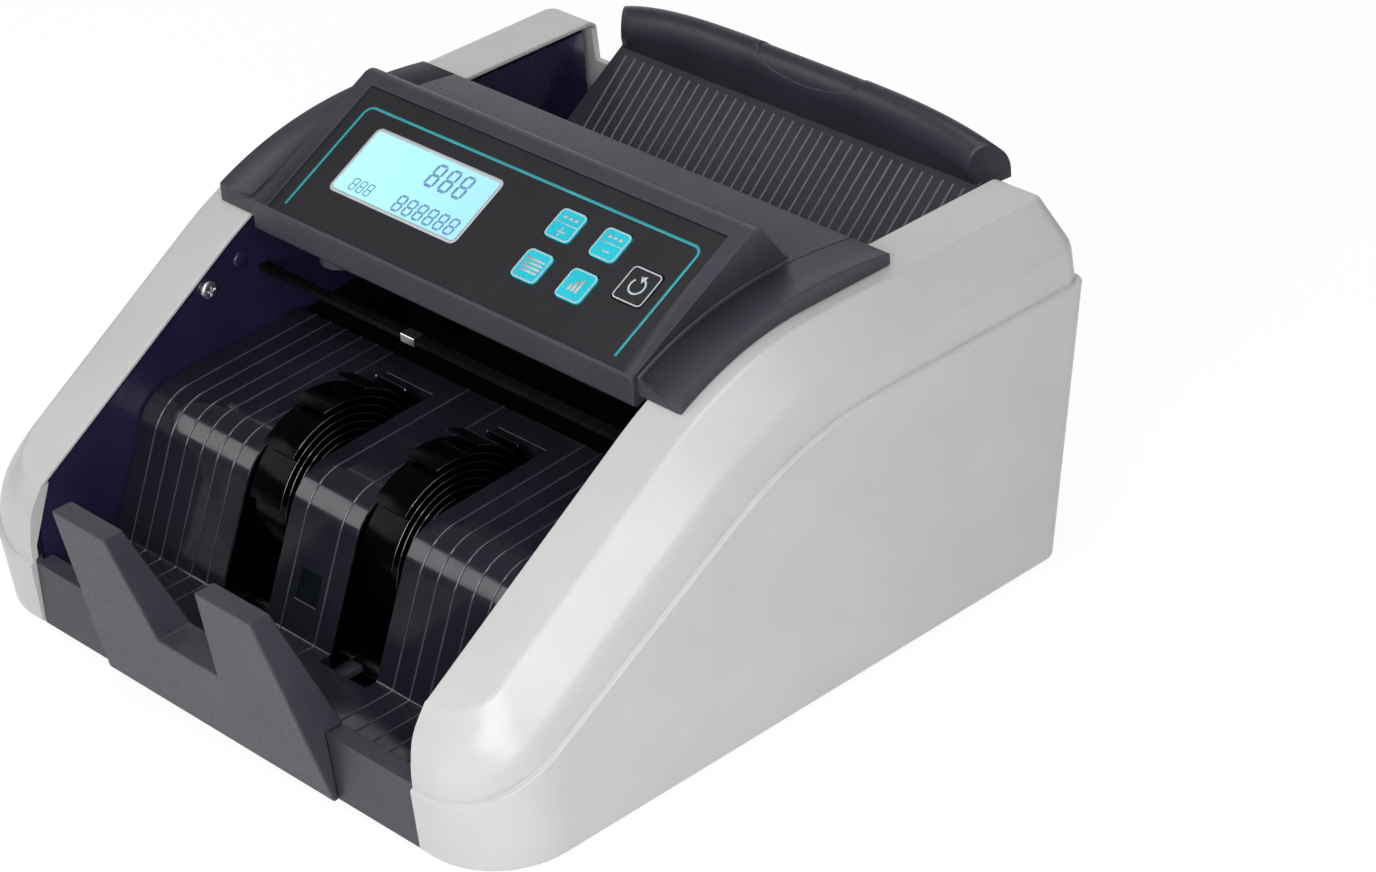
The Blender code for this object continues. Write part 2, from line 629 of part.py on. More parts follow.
def catch_plate(dark, parent):
    """The W-shaped plate that catches the notes: it hooks over the sill and slides on a flat runner."""
    axes = empty("catch_slide", parent)
    height = CATCH_TOP_Z - CATCH_BOTTOM_Z
    saddle_z = SILL_TOP_Z + GAP
    back_top = CATCH_TOP_Y + CATCH_TOP_DEPTH
    side = [
        (CATCH_TOP_Y, CATCH_TOP_Z),
        (CATCH_TOP_Y + CATCH_LEAN * height, CATCH_BOTTOM_Z),
        (-GAP, CATCH_BOTTOM_Z),
        (-GAP, saddle_z),
        (back_top + CATCH_BACK_LEAN * (CATCH_TOP_Z - saddle_z), saddle_z),
        (back_top, CATCH_TOP_Z),
    ]
    front = [
        (-CATCH_FOOT_HALF, CATCH_BOTTOM_Z), (CATCH_FOOT_HALF, CATCH_BOTTOM_Z),
        (PRONG_OUTER_HALF, CATCH_TOP_Z), (PRONG_INNER_HALF, CATCH_TOP_Z),
        (NOTCH_HALF, NOTCH_Z), (-NOTCH_HALF, NOTCH_Z),
        (-PRONG_INNER_HALF, CATCH_TOP_Z), (-PRONG_OUTER_HALF, CATCH_TOP_Z),
    ]
    depth = 2 * SILL_DEPTH
    plate = place("catch_plate", prism(side, -HALF_WIDTH, HALF_WIDTH), dark, axes)
    shape(plate, skin([[(x, y, z) for x, z in front] for y in (CATCH_TOP_Y - depth, depth)]), "INTERSECT")
    runner_front = CATCH_TOP_Y + CATCH_LEAN * (CATCH_TOP_Z - RUNNER_LOW_Z) + WALL
    shape(plate, box((-RUNNER_HALF, runner_front, RUNNER_LOW_Z),
                     (RUNNER_HALF, RUNNER_REAR_Y, RUNNER_TOP_Z)), "UNION")


def tray_outline(inset, foot_z):
    """Side outline of the guides: floor, steep face, nose and level top, moved in by a wall."""
    floor = TRAY_FLOOR_Z - inset
    top_rise = (GUIDE_REAR_Z - GUIDE_NOSE_Z) / (TRAY_REAR_Y - NOSE_Y)
    face = Vector((NOSE_Y - FACE_FOOT_Y, GUIDE_NOSE_Z - TRAY_FLOOR_Z))
    face_shift = inset * (face.length - face.x) / face.y
    rear = TRAY_REAR_Y - inset
    return rounded([
        (SILL_DEPTH + GAP + inset, foot_z, 0),
        (SILL_DEPTH + GAP + inset, floor, 0),
        (FACE_FOOT_Y + face_shift, floor, 0),
        (NOSE_Y + face_shift, GUIDE_NOSE_Z - inset, NOSE_RADIUS - inset),
        (rear, GUIDE_NOSE_Z - inset + top_rise * (rear - NOSE_Y), 0),
        (rear, foot_z, 0),
    ], NOSE_STEPS)


def stacker(smoke, glass, parent):
    """The moulded tray: three hollow guides, two slots that the impellers turn in, and the note chute behind."""
    block = prism(tray_outline(0.0, TRAY_SKIRT_Z), -TRAY_HALF, TRAY_HALF)
    tray = place("stacker_tray", block, smoke, parent)
    hollows = [
        (-TRAY_HALF + WALL, -SIDE_GUIDE_HALF - WALL),
        (SIDE_GUIDE_HALF + WALL, TRAY_HALF - WALL),
        (-CENTRE_GUIDE_HALF + WALL, CENTRE_GUIDE_HALF - WALL),
    ]
    for x0, x1 in hollows:
        shape(tray, prism(tray_outline(WALL, TRAY_SKIRT_Z - WALL), x0, x1))
    for side in (-1, 1):
        x0, x1 = sorted((side * CENTRE_GUIDE_HALF, side * SIDE_GUIDE_HALF))
        shape(tray, prism(tray_outline(WALL, TRAY_SKIRT_Z - WALL), x0, x1))
        shape(tray, box((x0, SLOT_FRONT_Y, 0), (x1, SLOT_REAR_Y, 2 * GUIDE_REAR_Z)))
    chute_front_y = TRAY_REAR_Y - WALL / 2
    chute_front_z = GUIDE_REAR_Z - CHUTE_STEP
    chute = [
        (chute_front_y, chute_front_z), (CHUTE_REAR_Y, CHUTE_REAR_Z),
        (CHUTE_REAR_Y, CHUTE_REAR_Z - CHUTE_THICK), (chute_front_y, chute_front_z - CHUTE_THICK),
    ]
    shape(tray, prism(chute, -CHANNEL_HALF, CHANNEL_HALF), "UNION")
    shaft = [(IMPELLER_Y + y, IMPELLER_Z + z) for y, z in circle(SHAFT_RADIUS + SEAT_GAP)]
    shape(tray, prism(shaft, -HALF_WIDTH, HALF_WIDTH))
    low = SENSOR_Z - SENSOR_HEIGHT / 2
    high = SENSOR_Z + SENSOR_HEIGHT / 2
    shape(tray, box((-SENSOR_HALF, 0, low), (SENSOR_HALF, NOSE_Y, high)))
    face_slope = (NOSE_Y - FACE_FOOT_Y) / (GUIDE_NOSE_Z - TRAY_FLOOR_Z)
    face = [FACE_FOOT_Y + face_slope * (z - TRAY_FLOOR_Z) for z in (low + GAP, high - GAP)]
    window = [(face[0] + GAP, low + GAP), (face[0] + SENSOR_DEPTH, low + GAP),
              (face[1] + SENSOR_DEPTH, high - GAP), (face[1] + GAP, high - GAP)]
    place("stacker_sensor", prism(window, -SENSOR_HALF + GAP, SENSOR_HALF - GAP), glass, parent)


def side_plates(navy, steel, parent):
    """Painted steel plates under the covers' bands, with the rods and screws that tie them."""
    rear = COVER_REAR_Y - PLATE_REAR_SET
    step = (rear - PLATE_FRONT_Y) / PLATE_STEPS
    foot_z = BASE_TOP_Z + GAP
    outline = [
        (PLATE_FRONT_Y, foot_z),
        (TUB_FOOT_REAR_Y - PLATE_FOOT_SET, foot_z),
        (rear, SEAM_TOP_Z - PLATE_SHOULDER_DROP),
    ]
    for i in range(PLATE_STEPS + 1):
        y = rear - i * step
        outline.append((y, band_z(y) - WALL - SEAT_GAP))
    outer = PLATE_INNER_X + PLATE_THICK
    plates = [place("left_side_plate", prism(outline, -outer, -PLATE_INNER_X), navy, parent),
              place("right_side_plate", prism(outline, PLATE_INNER_X, outer), navy, parent)]
    screw_bore = (SCREW_Y, SCREW_Z, SCREW_SHANK_RADIUS + BORE_GAP)
    axis_bores = {name: (y, z, BEARING_RADIUS + BORE_GAP) for name, (y, z) in shaft_axes().items()}
    motor_bore = axis_bores.pop("motor")
    bores = [(plate, bore) for plate in plates for bore in (screw_bore, *axis_bores.values())]
    bores.append((plates[1], motor_bore))
    for plate, (y, z, radius) in bores:
        hole = [(y + v, z + w) for v, w in circle(radius)]
        shape(plate, prism(hole, -HALF_WIDTH, HALF_WIDTH))
    span = PLATE_INNER_X - GAP
    place("front_tie_rod", rod(TIE_ROD_RADIUS, -span, span), steel, parent,
          (0, TIE_ROD_Y, BASE_TOP_Z + TIE_ROD_LIFT))
    bar_rear = GUIDE_BAR_Y + GUIDE_BAR_DEPTH
    bar_top = GUIDE_BAR_Z + GUIDE_BAR_THICK
    place("note_guide_bar", box((-span, GUIDE_BAR_Y, GUIDE_BAR_Z), (span, bar_rear, bar_top)), steel, parent)
    for name, side in (("left_plate_screw", -1), ("right_plate_screw", 1)):
        sections = [
            (side * (span - SCREW_HEAD_HEIGHT), SCREW_HEAD_RADIUS),
            (side * span, SCREW_HEAD_RADIUS),
            (side * span, SCREW_SHANK_RADIUS),
            (side * (span + SCREW_SHANK_LENGTH), SCREW_SHANK_RADIUS),
        ]
        place(name, stepped_rod(sections), steel, parent, (0, SCREW_Y, SCREW_Z))


def bridge_frame(dark, parent):
    """Two arched flanges that rest on the covers' bands, joined by the deck behind the panel."""
    reach = DECK_REAR_Y - FLANGE_FRONT_Y
    under = [FLANGE_FRONT_Y + reach * i / FLANGE_STEPS for i in range(FLANGE_STEPS + 1)]
    outline = [(y, band_z(y) + GAP) for y in under]
    front = Vector((FLANGE_FRONT_Y, band_z(FLANGE_FRONT_Y) + FLANGE_FRONT_THICK))
    crown = Vector((FLANGE_CROWN_Y, FLANGE_CROWN_Z))
    rear = Vector((DECK_REAR_Y, DECK_Z))
    for i in range(FLANGE_STEPS, -1, -1):
        t = i / FLANGE_STEPS
        point = front * (1 - t) ** 2 + crown * 2 * t * (1 - t) + rear * t ** 2
        outline.append((point.x, point.y))
    frame = place("bridge_frame", prism(outline, -FLANGE_HALF, FLANGE_HALF), dark, parent)
    opening = HOUSING_HALF + GAP
    shape(frame, box((-opening, 0, 0), (opening, HOUSING_REAR_Y + GAP, 2 * DECK_Z)))


def panel_axes(parent):
    """Axes on the panel's face: local +Y runs up the slope and +Z points out of it."""
    return empty("panel_axes", parent, (0, PANEL_Y, PANEL_Z), PANEL_TILT)


def key_outline(half):
    return rounded([(-half, -half, KEY_CORNER), (half, -half, KEY_CORNER),
                    (half, half, KEY_CORNER), (-half, half, KEY_CORNER)], KEY_ARC_STEPS)


def key_places():
    """Each key's name, place on the panel and half size."""
    left, right = KEY_COLUMNS
    upper, lower = KEY_ROWS
    return [("plus_key", left, upper, KEY_HALF), ("minus_key", right, upper, KEY_HALF),
            ("batch_key", left, lower, KEY_HALF), ("add_key", right, lower, KEY_HALF),
            ("restart_key", RESTART_X, RESTART_ROW, RESTART_HALF)]


def panel_line_z(y, above):
    """Height of the panel's plane at a place along Y, or of a plane that far above it."""
    return PANEL_Z + (y - PANEL_Y) * math.tan(PANEL_TILT) + above / math.cos(PANEL_TILT)


def panel(dark, overlay_finish, glass, board_finish, key_finish, restart_finish, parent):
    """The wedge housing with its recessed overlay, display and five keys."""
    slope = panel_axes(parent)
    wedge = rounded([
        (HOUSING_FRONT_Y, HOUSING_LIP_Z, LIP_RADIUS),
        (HOUSING_REAR_Y, HOUSING_SKIRT_Z, 0),
        (HOUSING_REAR_Y, HOUSING_REAR_Z, 0),
        (HOUSING_RIDGE_Y, panel_line_z(HOUSING_RIDGE_Y, BEZEL_HEIGHT), RIDGE_RADIUS),
        (HOUSING_FRONT_Y, panel_line_z(HOUSING_FRONT_Y, BEZEL_HEIGHT), LIP_RADIUS),
    ])
    housing = place("panel_housing", prism(wedge, -HOUSING_HALF, HOUSING_HALF), dark, parent)
    floor = OVERLAY_THICK + GAP + POCKET_FLOOR
    inner_front = HOUSING_FRONT_Y + WALL
    inner_rear = HOUSING_REAR_Y - WALL
    inner_ridge = HOUSING_RIDGE_Y - 2 * WALL
    hollow = [
        (inner_front, 0), (inner_rear, 0), (inner_rear, HOUSING_REAR_Z - WALL),
        (inner_ridge, panel_line_z(inner_ridge, -floor)), (inner_front, panel_line_z(inner_front, -floor)),
    ]
    shape(housing, prism(hollow, -HOUSING_HALF + WALL, HOUSING_HALF - WALL))
    pocket_half = OVERLAY_HALF + GAP
    shape(housing, box((-pocket_half, OVERLAY_BOTTOM - GAP, -OVERLAY_THICK - GAP),
                       (pocket_half, OVERLAY_TOP + GAP, RIDGE_RADIUS)), parent=slope)
    lcd_low = (LCD_LEFT - LCD_RIM, LCD_BOTTOM - LCD_RIM)
    lcd_high = (LCD_RIGHT + LCD_RIM, LCD_TOP + LCD_RIM)
    shape(housing, box((lcd_low[0] - GAP, lcd_low[1] - GAP, -2 * floor),
                       (lcd_high[0] + GAP, lcd_high[1] + GAP, floor)), parent=slope)
    for x in (-BOARD_HALF + BOSS_HALF, BOARD_HALF - BOSS_HALF):
        for y in (BOARD_BOTTOM + BOSS_HALF, BOARD_TOP - BOSS_HALF):
            shape(housing, box((x - BOSS_HALF, y - BOSS_HALF, -BOARD_DROP + GAP),
                               (x + BOSS_HALF, y + BOSS_HALF, -floor + POCKET_FLOOR / 2)), "UNION", slope)
    overlay = place("panel_overlay", box((-OVERLAY_HALF, OVERLAY_BOTTOM, -OVERLAY_THICK),
                                         (OVERLAY_HALF, OVERLAY_TOP, 0)), overlay_finish, slope)
    shape(overlay, box((LCD_LEFT, LCD_BOTTOM, -2 * floor), (LCD_RIGHT, LCD_TOP, floor)))
    place("display_board", box((-BOARD_HALF, BOARD_BOTTOM, -BOARD_DROP - BOARD_THICK),
                               (BOARD_HALF, BOARD_TOP, -BOARD_DROP)), board_finish, slope)
    place("lcd_module", box((*lcd_low, -BOARD_DROP + GAP), (*lcd_high, -OVERLAY_THICK - GAP)), glass, slope)
    flange_top = -floor - SEAT_GAP / 2
    foot = -BOARD_DROP + GAP + KEY_TRAVEL + GAP
    for name, x, y, half in key_places():
        hole = [(x + u, y + v) for u, v in key_outline(half + GAP)]
        shape(housing, slab(hole, -2 * floor, floor), parent=slope)
        shape(overlay, slab(hole, -2 * floor, floor))
        axes = empty(name + "_slide", slope, (x, y, 0))
        flange = half + KEY_FLANGE
        levels = [(flange, foot), (flange, flange_top), (half, flange_top), (half, KEY_RISE)]
        cap = skin([[(u, v, z) for u, v in key_outline(size)] for size, z in levels])
        place(name, cap, restart_finish if name == "restart_key" else key_finish, axes)


def hopper_underside_z(y):
    """Height of the tilted plate's lower face at a place along Y."""
    return HOPPER_TOP_Z - (HOPPER_TOP_Y - y) * math.tan(HOPPER_TILT) - WALL / math.cos(HOPPER_TILT)


def hopper(dark, parent):
    """The tilted note plate with its bowed roll, open where the pick-up rollers come through."""
    run = Vector((-math.cos(HOPPER_TILT), -math.sin(HOPPER_TILT)))
    down = Vector((math.sin(HOPPER_TILT), -math.cos(HOPPER_TILT)))
    top = Vector((HOPPER_TOP_Y, HOPPER_TOP_Z))
    plate = [top, top + run * HOPPER_LENGTH, top + run * HOPPER_LENGTH + down * WALL, top + down * WALL]
    tray = place("hopper_tray", prism([tuple(p) for p in plate], -HOPPER_HALF, HOPPER_HALF), dark, parent)
    rings = []
    foot = top + run * 2 * WALL
    lip = top + down * WALL + run * WALL
    for i in range(ROLL_STEPS + 1):
        share = 2 * i / ROLL_STEPS - 1
        x = ROLL_HALF * share
        crest = HOPPER_TOP_Z + ROLL_CREST_RISE - (ROLL_CREST_RISE - ROLL_END_RISE) * share ** 4
        section = rounded([
            (foot.x, foot.y, 0), (lip.x, lip.y, 0), (ROLL_REAR_Y, HOPPER_TOP_Z, 0),
            (ROLL_REAR_Y, crest, ROLL_RADIUS), (foot.x + WALL, crest, ROLL_RADIUS),
        ])
        rings.append([(x, y, z) for y, z in section])
    shape(tray, skin(rings), "UNION")
    y, z = shaft_axes()["pickup"]
    slot = [(y + v, z + w) for v, w in circle(PICKUP_RADIUS + SEAT_GAP)]
    reach = PICKUP_WIDTH / 2 + SEAT_GAP
    for side in (-1, 1):
        shape(tray, prism(slot, side * PICKUP_X - reach, side * PICKUP_X + reach))


def shaft_axes():
    """Where each turning axis crosses the machine, as (y, z)."""
    sink = PICKUP_RADIUS - PICKUP_RISE
    return {
        "impeller": (IMPELLER_Y, IMPELLER_Z),
        "feed": (FEED_Y, FEED_Z),
        "pickup": (HOPPER_TOP_Y - PICKUP_ALONG * math.cos(HOPPER_TILT) + sink * math.sin(HOPPER_TILT),
                   HOPPER_TOP_Z - PICKUP_ALONG * math.sin(HOPPER_TILT) - sink * math.cos(HOPPER_TILT)),
        "motor": (MOTOR_Y, MOTOR_Z),
    }


def impeller_outline():
    """A hub with thin fins of even thickness that curl back against the way they turn."""
    climb = (IMPELLER_RADIUS - IMPELLER_HUB) / FIN_SWEEP
    outline = []
    for fin in range(IMPELLER_FINS):
        root = 2 * math.pi * fin / IMPELLER_FINS
        edge = []
        for step in range(FIN_STEPS + 1):
            share = step / FIN_STEPS
            radius = IMPELLER_HUB + (IMPELLER_RADIUS - IMPELLER_HUB) * share
            edge.append((radius, root - FIN_SWEEP * share))
        lead = [(r, a + FIN_THICK * math.hypot(r, climb) / (r * climb)) for r, a in reversed(edge)]
        outline += [(r * math.cos(a), r * math.sin(a)) for r, a in edge + lead]
    return outline


def collar(radius, length):
    """A plain sleeve on a shaft, centred on the local origin."""
    bore = SHAFT_RADIUS + BORE_GAP
    half = length / 2
    return turned([(-half, bore), (-half, radius), (half, radius), (half, bore)])


def groove_profile(x, radius):
    """The rim of one belt groove between its two flanges."""
    start = x - GAP
    end = x + BELT_WIDTH + GAP
    rim = radius + PULLEY_RIM_RISE
    return [(x - PULLEY_RIM_THICK, rim), (start, rim), (start, radius),
            (end, radius), (end, rim), (x + BELT_WIDTH + PULLEY_RIM_THICK, rim)]


def pulley(grooves, bore):
    """A belt wheel with one or more grooves, as (x, radius), along its bore."""
    rim = [point for x, radius in grooves for point in groove_profile(x, radius)]
    return turned([(rim[0][0], bore)] + rim + [(rim[-1][0], bore)])


def belt(first, first_radius, second, second_radius, x):
    """A flat belt round two wheels: an outline of two arcs and their outer tangents."""
    one, two = Vector(first), Vector(second)
    along = math.atan2(two.y - one.y, two.x - one.x)
    spread = math.acos((first_radius - second_radius) / (two - one).length)
    wraps = (
        (one, first_radius, along + spread, 2 * math.pi - 2 * spread),
        (two, second_radius, along - spread, 2 * spread),
    )

    def outline(offset):
        points = []
        for centre, radius, first_angle, sweep in wraps:
            for i in range(BELT_STEPS + 1):
                angle = first_angle + sweep * i / BELT_STEPS
                reach = radius + offset
                points.append((centre.x + reach * math.cos(angle), centre.y + reach * math.sin(angle)))
        return points

    inner = outline(BELT_SLACK)
    outer = outline(BELT_SLACK + BELT_THICK)
    x1 = x + BELT_WIDTH
    loops = [(outer, x), (outer, x1), (inner, x1), (inner, x)]
    return skin([[(at, y, z) for y, z in points] for points, at in loops], loop=True)


def drive(steel, black, rubber, brass, cover_black, parent):
    """Motor, belts and the three shafts with what turns on them."""
    axes = {name: empty(name + "_axis", parent, (0, y, z)) for name, (y, z) in shaft_axes().items()}
    bore = SHAFT_RADIUS + BORE_GAP
    for name in ("impeller", "feed", "pickup"):
        place(name + "_shaft", rod(SHAFT_RADIUS, SHAFT_LEFT_X, SHAFT_RIGHT_X), steel, axes[name])
        for side_name, side in (("left", -1), ("right", 1)):
            x = side * (PLATE_INNER_X + BEARING_LENGTH / 2)
            place(f"{name}_{side_name}_bearing", collar(BEARING_RADIUS, BEARING_LENGTH), brass, parent,
                  (x, *shaft_axes()[name]))
    wheel_inner = CENTRE_GUIDE_HALF + IMPELLER_SIDE_GAP
    wheel_outer = SIDE_GUIDE_HALF - IMPELLER_SIDE_GAP
    for side_name, side in (("left", -1), ("right", 1)):
        disc = prism(impeller_outline(), side * wheel_inner, side * wheel_outer)
        wheel = place(side_name + "_impeller", disc, black, axes["impeller"])
        shape(wheel, rod(bore, -HALF_WIDTH, HALF_WIDTH))
        place(side_name + "_feed_roller", collar(FEED_RADIUS, FEED_ROLLER_WIDTH), rubber, axes["feed"],
              (side * FEED_ROLLER_X, 0, 0))
        place(side_name + "_pickup_roller", collar(PICKUP_RADIUS, PICKUP_WIDTH), rubber, axes["pickup"],
              (side * PICKUP_X, 0, 0))
    place("impeller_pulley", pulley([(OUTER_BELT_X, IMPELLER_GROOVE)], bore), black, axes["impeller"])
    place("feed_pulley", pulley([(INNER_BELT_X, FEED_GROOVE), (OUTER_BELT_X, PICKUP_GROOVE)], bore),
          black, axes["feed"])
    place("pickup_pulley", pulley([(OUTER_BELT_X, PICKUP_GROOVE)], bore), black, axes["pickup"])
    motor_face = PLATE_INNER_X - GAP
    motor_tail = motor_face - MOTOR_LENGTH
    socket = MOTOR_SHAFT_RADIUS + BORE_GAP
    motor = place("drive_motor", rod(MOTOR_RADIUS, motor_tail, motor_face), cover_black, parent,
                  (0, MOTOR_Y, MOTOR_Z))
    shape(motor, rod(socket, motor_face - MOTOR_LENGTH / 2, HALF_WIDTH), parent=axes["motor"])
    rim = [point for x in (INNER_BELT_X, OUTER_BELT_X) for point in groove_profile(x, MOTOR_GROOVE)]
    root_x = motor_face - MOTOR_LENGTH / 2 + GAP
    sections = [(root_x, MOTOR_SHAFT_RADIUS), (rim[0][0], MOTOR_SHAFT_RADIUS)] + rim
    place("motor_pulley", stepped_rod(sections), steel, axes["motor"])
    spots = shaft_axes()
    loops = (
        ("feed_belt", "motor", MOTOR_GROOVE, "feed", FEED_GROOVE, INNER_BELT_X),
        ("impeller_belt", "motor", MOTOR_GROOVE, "impeller", IMPELLER_GROOVE, OUTER_BELT_X),
        ("pickup_belt", "feed", PICKUP_GROOVE, "pickup", PICKUP_GROOVE, OUTER_BELT_X),
    )
    for name, first, first_radius, second, second_radius, x in loops:
        place(name, belt(spots[first], first_radius, spots[second], second_radius, x), rubber, parent)


def separator(steel, rubber, parent):
    """The bracket under the deck and the rubber pad that holds back all but one note."""
    pad_low = FEED_Z + FEED_RADIUS + PAD_GAP
    pad_top = pad_low + PAD_HEIGHT
    low_y = FEED_Y - SEPARATOR_LEAD
    high_y = low_y + SEPARATOR_DEPTH
    half = SEPARATOR_HALF
    place("separator_pad", box((-half, low_y, pad_low), (half, high_y, pad_top)), rubber, parent)
    place("separator_bracket", box((-half, low_y, pad_top + GAP), (half, high_y, COVER_TOP_Z)), steel, parent)


def power_inlet(black, parent):
    """A mains inlet: rim outside the wall, body inside, and three blades in its recess."""
    axes = rear_axes(parent, INLET_X, INLET_Z)
    half_x = INLET_HALF_X
    half_z = INLET_HALF_Z
    inlet = place("power_inlet", box((-half_x - INLET_RIM, GAP, -half_z - INLET_RIM),
                                     (half_x + INLET_RIM, INLET_RIM, half_z + INLET_RIM)), black, axes)
    shape(inlet, box((-half_x, -INLET_DEPTH, -half_z), (half_x, INLET_RIM / 2, half_z)), "UNION")
    shape(inlet, box((-half_x + INLET_WALL, INLET_RIM - INLET_RECESS, -half_z + INLET_WALL),
                     (half_x - INLET_WALL, 2 * INLET_RIM, half_z - INLET_WALL)))
    floor = INLET_RIM - INLET_RECESS
    for x, z in ((-PIN_PITCH, -PIN_HALF), (0, 2 * PIN_HALF), (PIN_PITCH, -PIN_HALF)):
        shape(inlet, box((x - PIN_HALF, floor - INLET_WALL, z - 2 * PIN_HALF),
                         (x + PIN_HALF, floor + PIN_LENGTH, z + 2 * PIN_HALF)), "UNION")


def power_switch(black, parent):
    """A rocker on the rear wall, drawn pressed at its lower half; it turns about the wall's plane."""
    axes = rear_axes(parent, SWITCH_X, INLET_Z)
    axes.rotation_euler.x -= SWITCH_THROW / 2
    half = SWITCH_HALF_Z
    rise = SWITCH_RISE + half * math.tan(SWITCH_THROW / 2)
    rocker = [(-SWITCH_DEPTH, -half / 2), (-SWITCH_DEPTH, half / 2), (0, half - GAP), (rise, half - 2 * GAP),
              (SWITCH_RISE, 0), (rise, -half + 2 * GAP), (0, -half + GAP)]
    place("power_switch", prism(rocker, -SWITCH_HALF_X, SWITCH_HALF_X), black, axes)


def gap_knob(black, parent):
    """The knob on the rear wall that sets the gap between the pad and the feed rollers."""
    axes = rear_axes(parent, KNOB_X, KNOB_Z)
    turns = [math.pi * i / KNOB_GRIPS for i in range(2 * KNOB_GRIPS)]
    stem = [KNOB_STEM_RADIUS for _ in turns]
    grip = [KNOB_RADIUS - (i % 2) * KNOB_GRIP_DEPTH for i in range(len(turns))]
    levels = [(-KNOB_STEM_LENGTH, stem), (SEAT_GAP, stem), (SEAT_GAP, grip), (KNOB_HEIGHT, grip)]
    rings = []
    for y, radii in levels:
        rings.append([(r * math.cos(a), y, r * math.sin(a)) for r, a in zip(radii, turns)])
    place("gap_knob", skin(rings), black, axes)


def electrics(board_finish, steel, black, parent):
    """Main board on four legs, transformer, mains inlet, power switch and adjusting knob."""
    low_z = BASE_TOP_Z + GAP
    rear = TUB_FOOT_REAR_Y - MAIN_BOARD_REAR_SET
    front = rear - MAIN_BOARD_LENGTH
    board_z = BASE_TOP_Z + MAIN_BOARD_LIFT
    board = place("main_board", box((MAIN_BOARD_LEFT_X, front, board_z),
                                    (MAIN_BOARD_RIGHT_X, rear, board_z + BOARD_THICK)), board_finish, parent)
    half = MAIN_BOARD_LEG / 2
    for x in (MAIN_BOARD_LEFT_X + MAIN_BOARD_LEG, MAIN_BOARD_RIGHT_X - MAIN_BOARD_LEG):
        for y in (front + MAIN_BOARD_LEG, rear - MAIN_BOARD_LEG):
            leg = box((x - half, y - half, low_z), (x + half, y + half, board_z + BOARD_THICK / 2))
            shape(board, leg, "UNION")
    axes = empty("transformer_axes", parent, (TRANSFORMER_X, TUB_FOOT_REAR_Y - TRANSFORMER_REAR_SET, low_z))
    core_half_y = TRANSFORMER_HALF_Y - COIL_BULGE
    core = place("transformer", box((-TRANSFORMER_HALF_X, -core_half_y, 0),
                                    (TRANSFORMER_HALF_X, core_half_y, TRANSFORMER_HEIGHT)), steel, axes)
    shape(core, box((-COIL_HALF_X, -TRANSFORMER_HALF_Y, COIL_BULGE),
                    (COIL_HALF_X, TRANSFORMER_HALF_Y, TRANSFORMER_HEIGHT - COIL_BULGE)), "UNION")
    power_inlet(black, parent)
    power_switch(black, parent)
    gap_knob(black, parent)


def main():
    clear_scene()
    white = finish("pearl_white_abs", "D6D6D1", 0.38)
    dark = finish("dark_grey_abs", "3A3A42", 0.45)
    smoke = finish("smoke_blue_acrylic", "20202A", 0.15)
    navy = finish("navy_painted_steel", "1B1638", 0.35, 0.2)
    steel = finish("bright_steel", "B8BABD", 0.25, 1.0)
    brass = finish("sintered_bronze", "8C7446", 0.4, 1.0)
    black = finish("gloss_black_plastic", "0C0C0E", 0.12)
    rubber = finish("black_rubber", "17171A", 0.8)
    motor_black = finish("motor_casing_black", "1E1F22", 0.4, 0.6)
    overlay = finish("charcoal_membrane", "38383C", 0.5)
    cyan = finish("cyan_membrane_key", "1FC3D6", 0.45)
    restart = finish("black_membrane_key", "141416", 0.45)
    glass = finish("pale_cyan_display", "9FE8F5", 0.2)
    sensor = finish("smoked_sensor_window", "101418", 0.1)
    board = finish("green_circuit_board", "1F5A38", 0.5)
    machine = empty("note_counter", location=(0, -MIDDLE_Y, 0))
    casing(white, dark, steel, rubber, machine)
    catch_plate(dark, machine)
    stacker(smoke, sensor, machine)
    side_plates(navy, steel, machine)
    bridge_frame(dark, machine)
    panel(dark, overlay, glass, board, cyan, restart, machine)
    hopper(dark, machine)
    drive(steel, black, rubber, brass, motor_black, machine)
    separator(steel, rubber, machine)
    electrics(board, steel, black, machine)


main()
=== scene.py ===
"""Looks of a loose-banknote counter: pearl-white covers, dark grey control bridge, smoke-blue stacker.

Metres, +Z up, front facing -Y. Places along Y are measured from the front face of the sill, as on a
drawing of the machine, and each finished mesh is moved from there into the frame.
"""
import math

import bmesh
import bpy
from mathutils import Matrix, Vector


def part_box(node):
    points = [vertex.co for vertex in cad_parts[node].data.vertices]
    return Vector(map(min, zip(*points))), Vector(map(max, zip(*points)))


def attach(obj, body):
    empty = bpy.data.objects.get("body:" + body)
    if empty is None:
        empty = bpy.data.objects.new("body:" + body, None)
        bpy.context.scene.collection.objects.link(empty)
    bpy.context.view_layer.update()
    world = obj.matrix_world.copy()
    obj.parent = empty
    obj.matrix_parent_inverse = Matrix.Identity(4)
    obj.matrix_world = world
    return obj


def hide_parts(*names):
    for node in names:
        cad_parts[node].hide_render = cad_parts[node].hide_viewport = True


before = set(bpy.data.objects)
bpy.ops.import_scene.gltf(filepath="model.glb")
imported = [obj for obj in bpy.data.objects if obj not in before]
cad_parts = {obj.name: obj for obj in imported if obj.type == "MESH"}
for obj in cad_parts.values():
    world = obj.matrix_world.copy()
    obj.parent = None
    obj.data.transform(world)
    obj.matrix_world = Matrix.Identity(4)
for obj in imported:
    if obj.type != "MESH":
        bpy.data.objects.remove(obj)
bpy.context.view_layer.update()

MM = 0.001

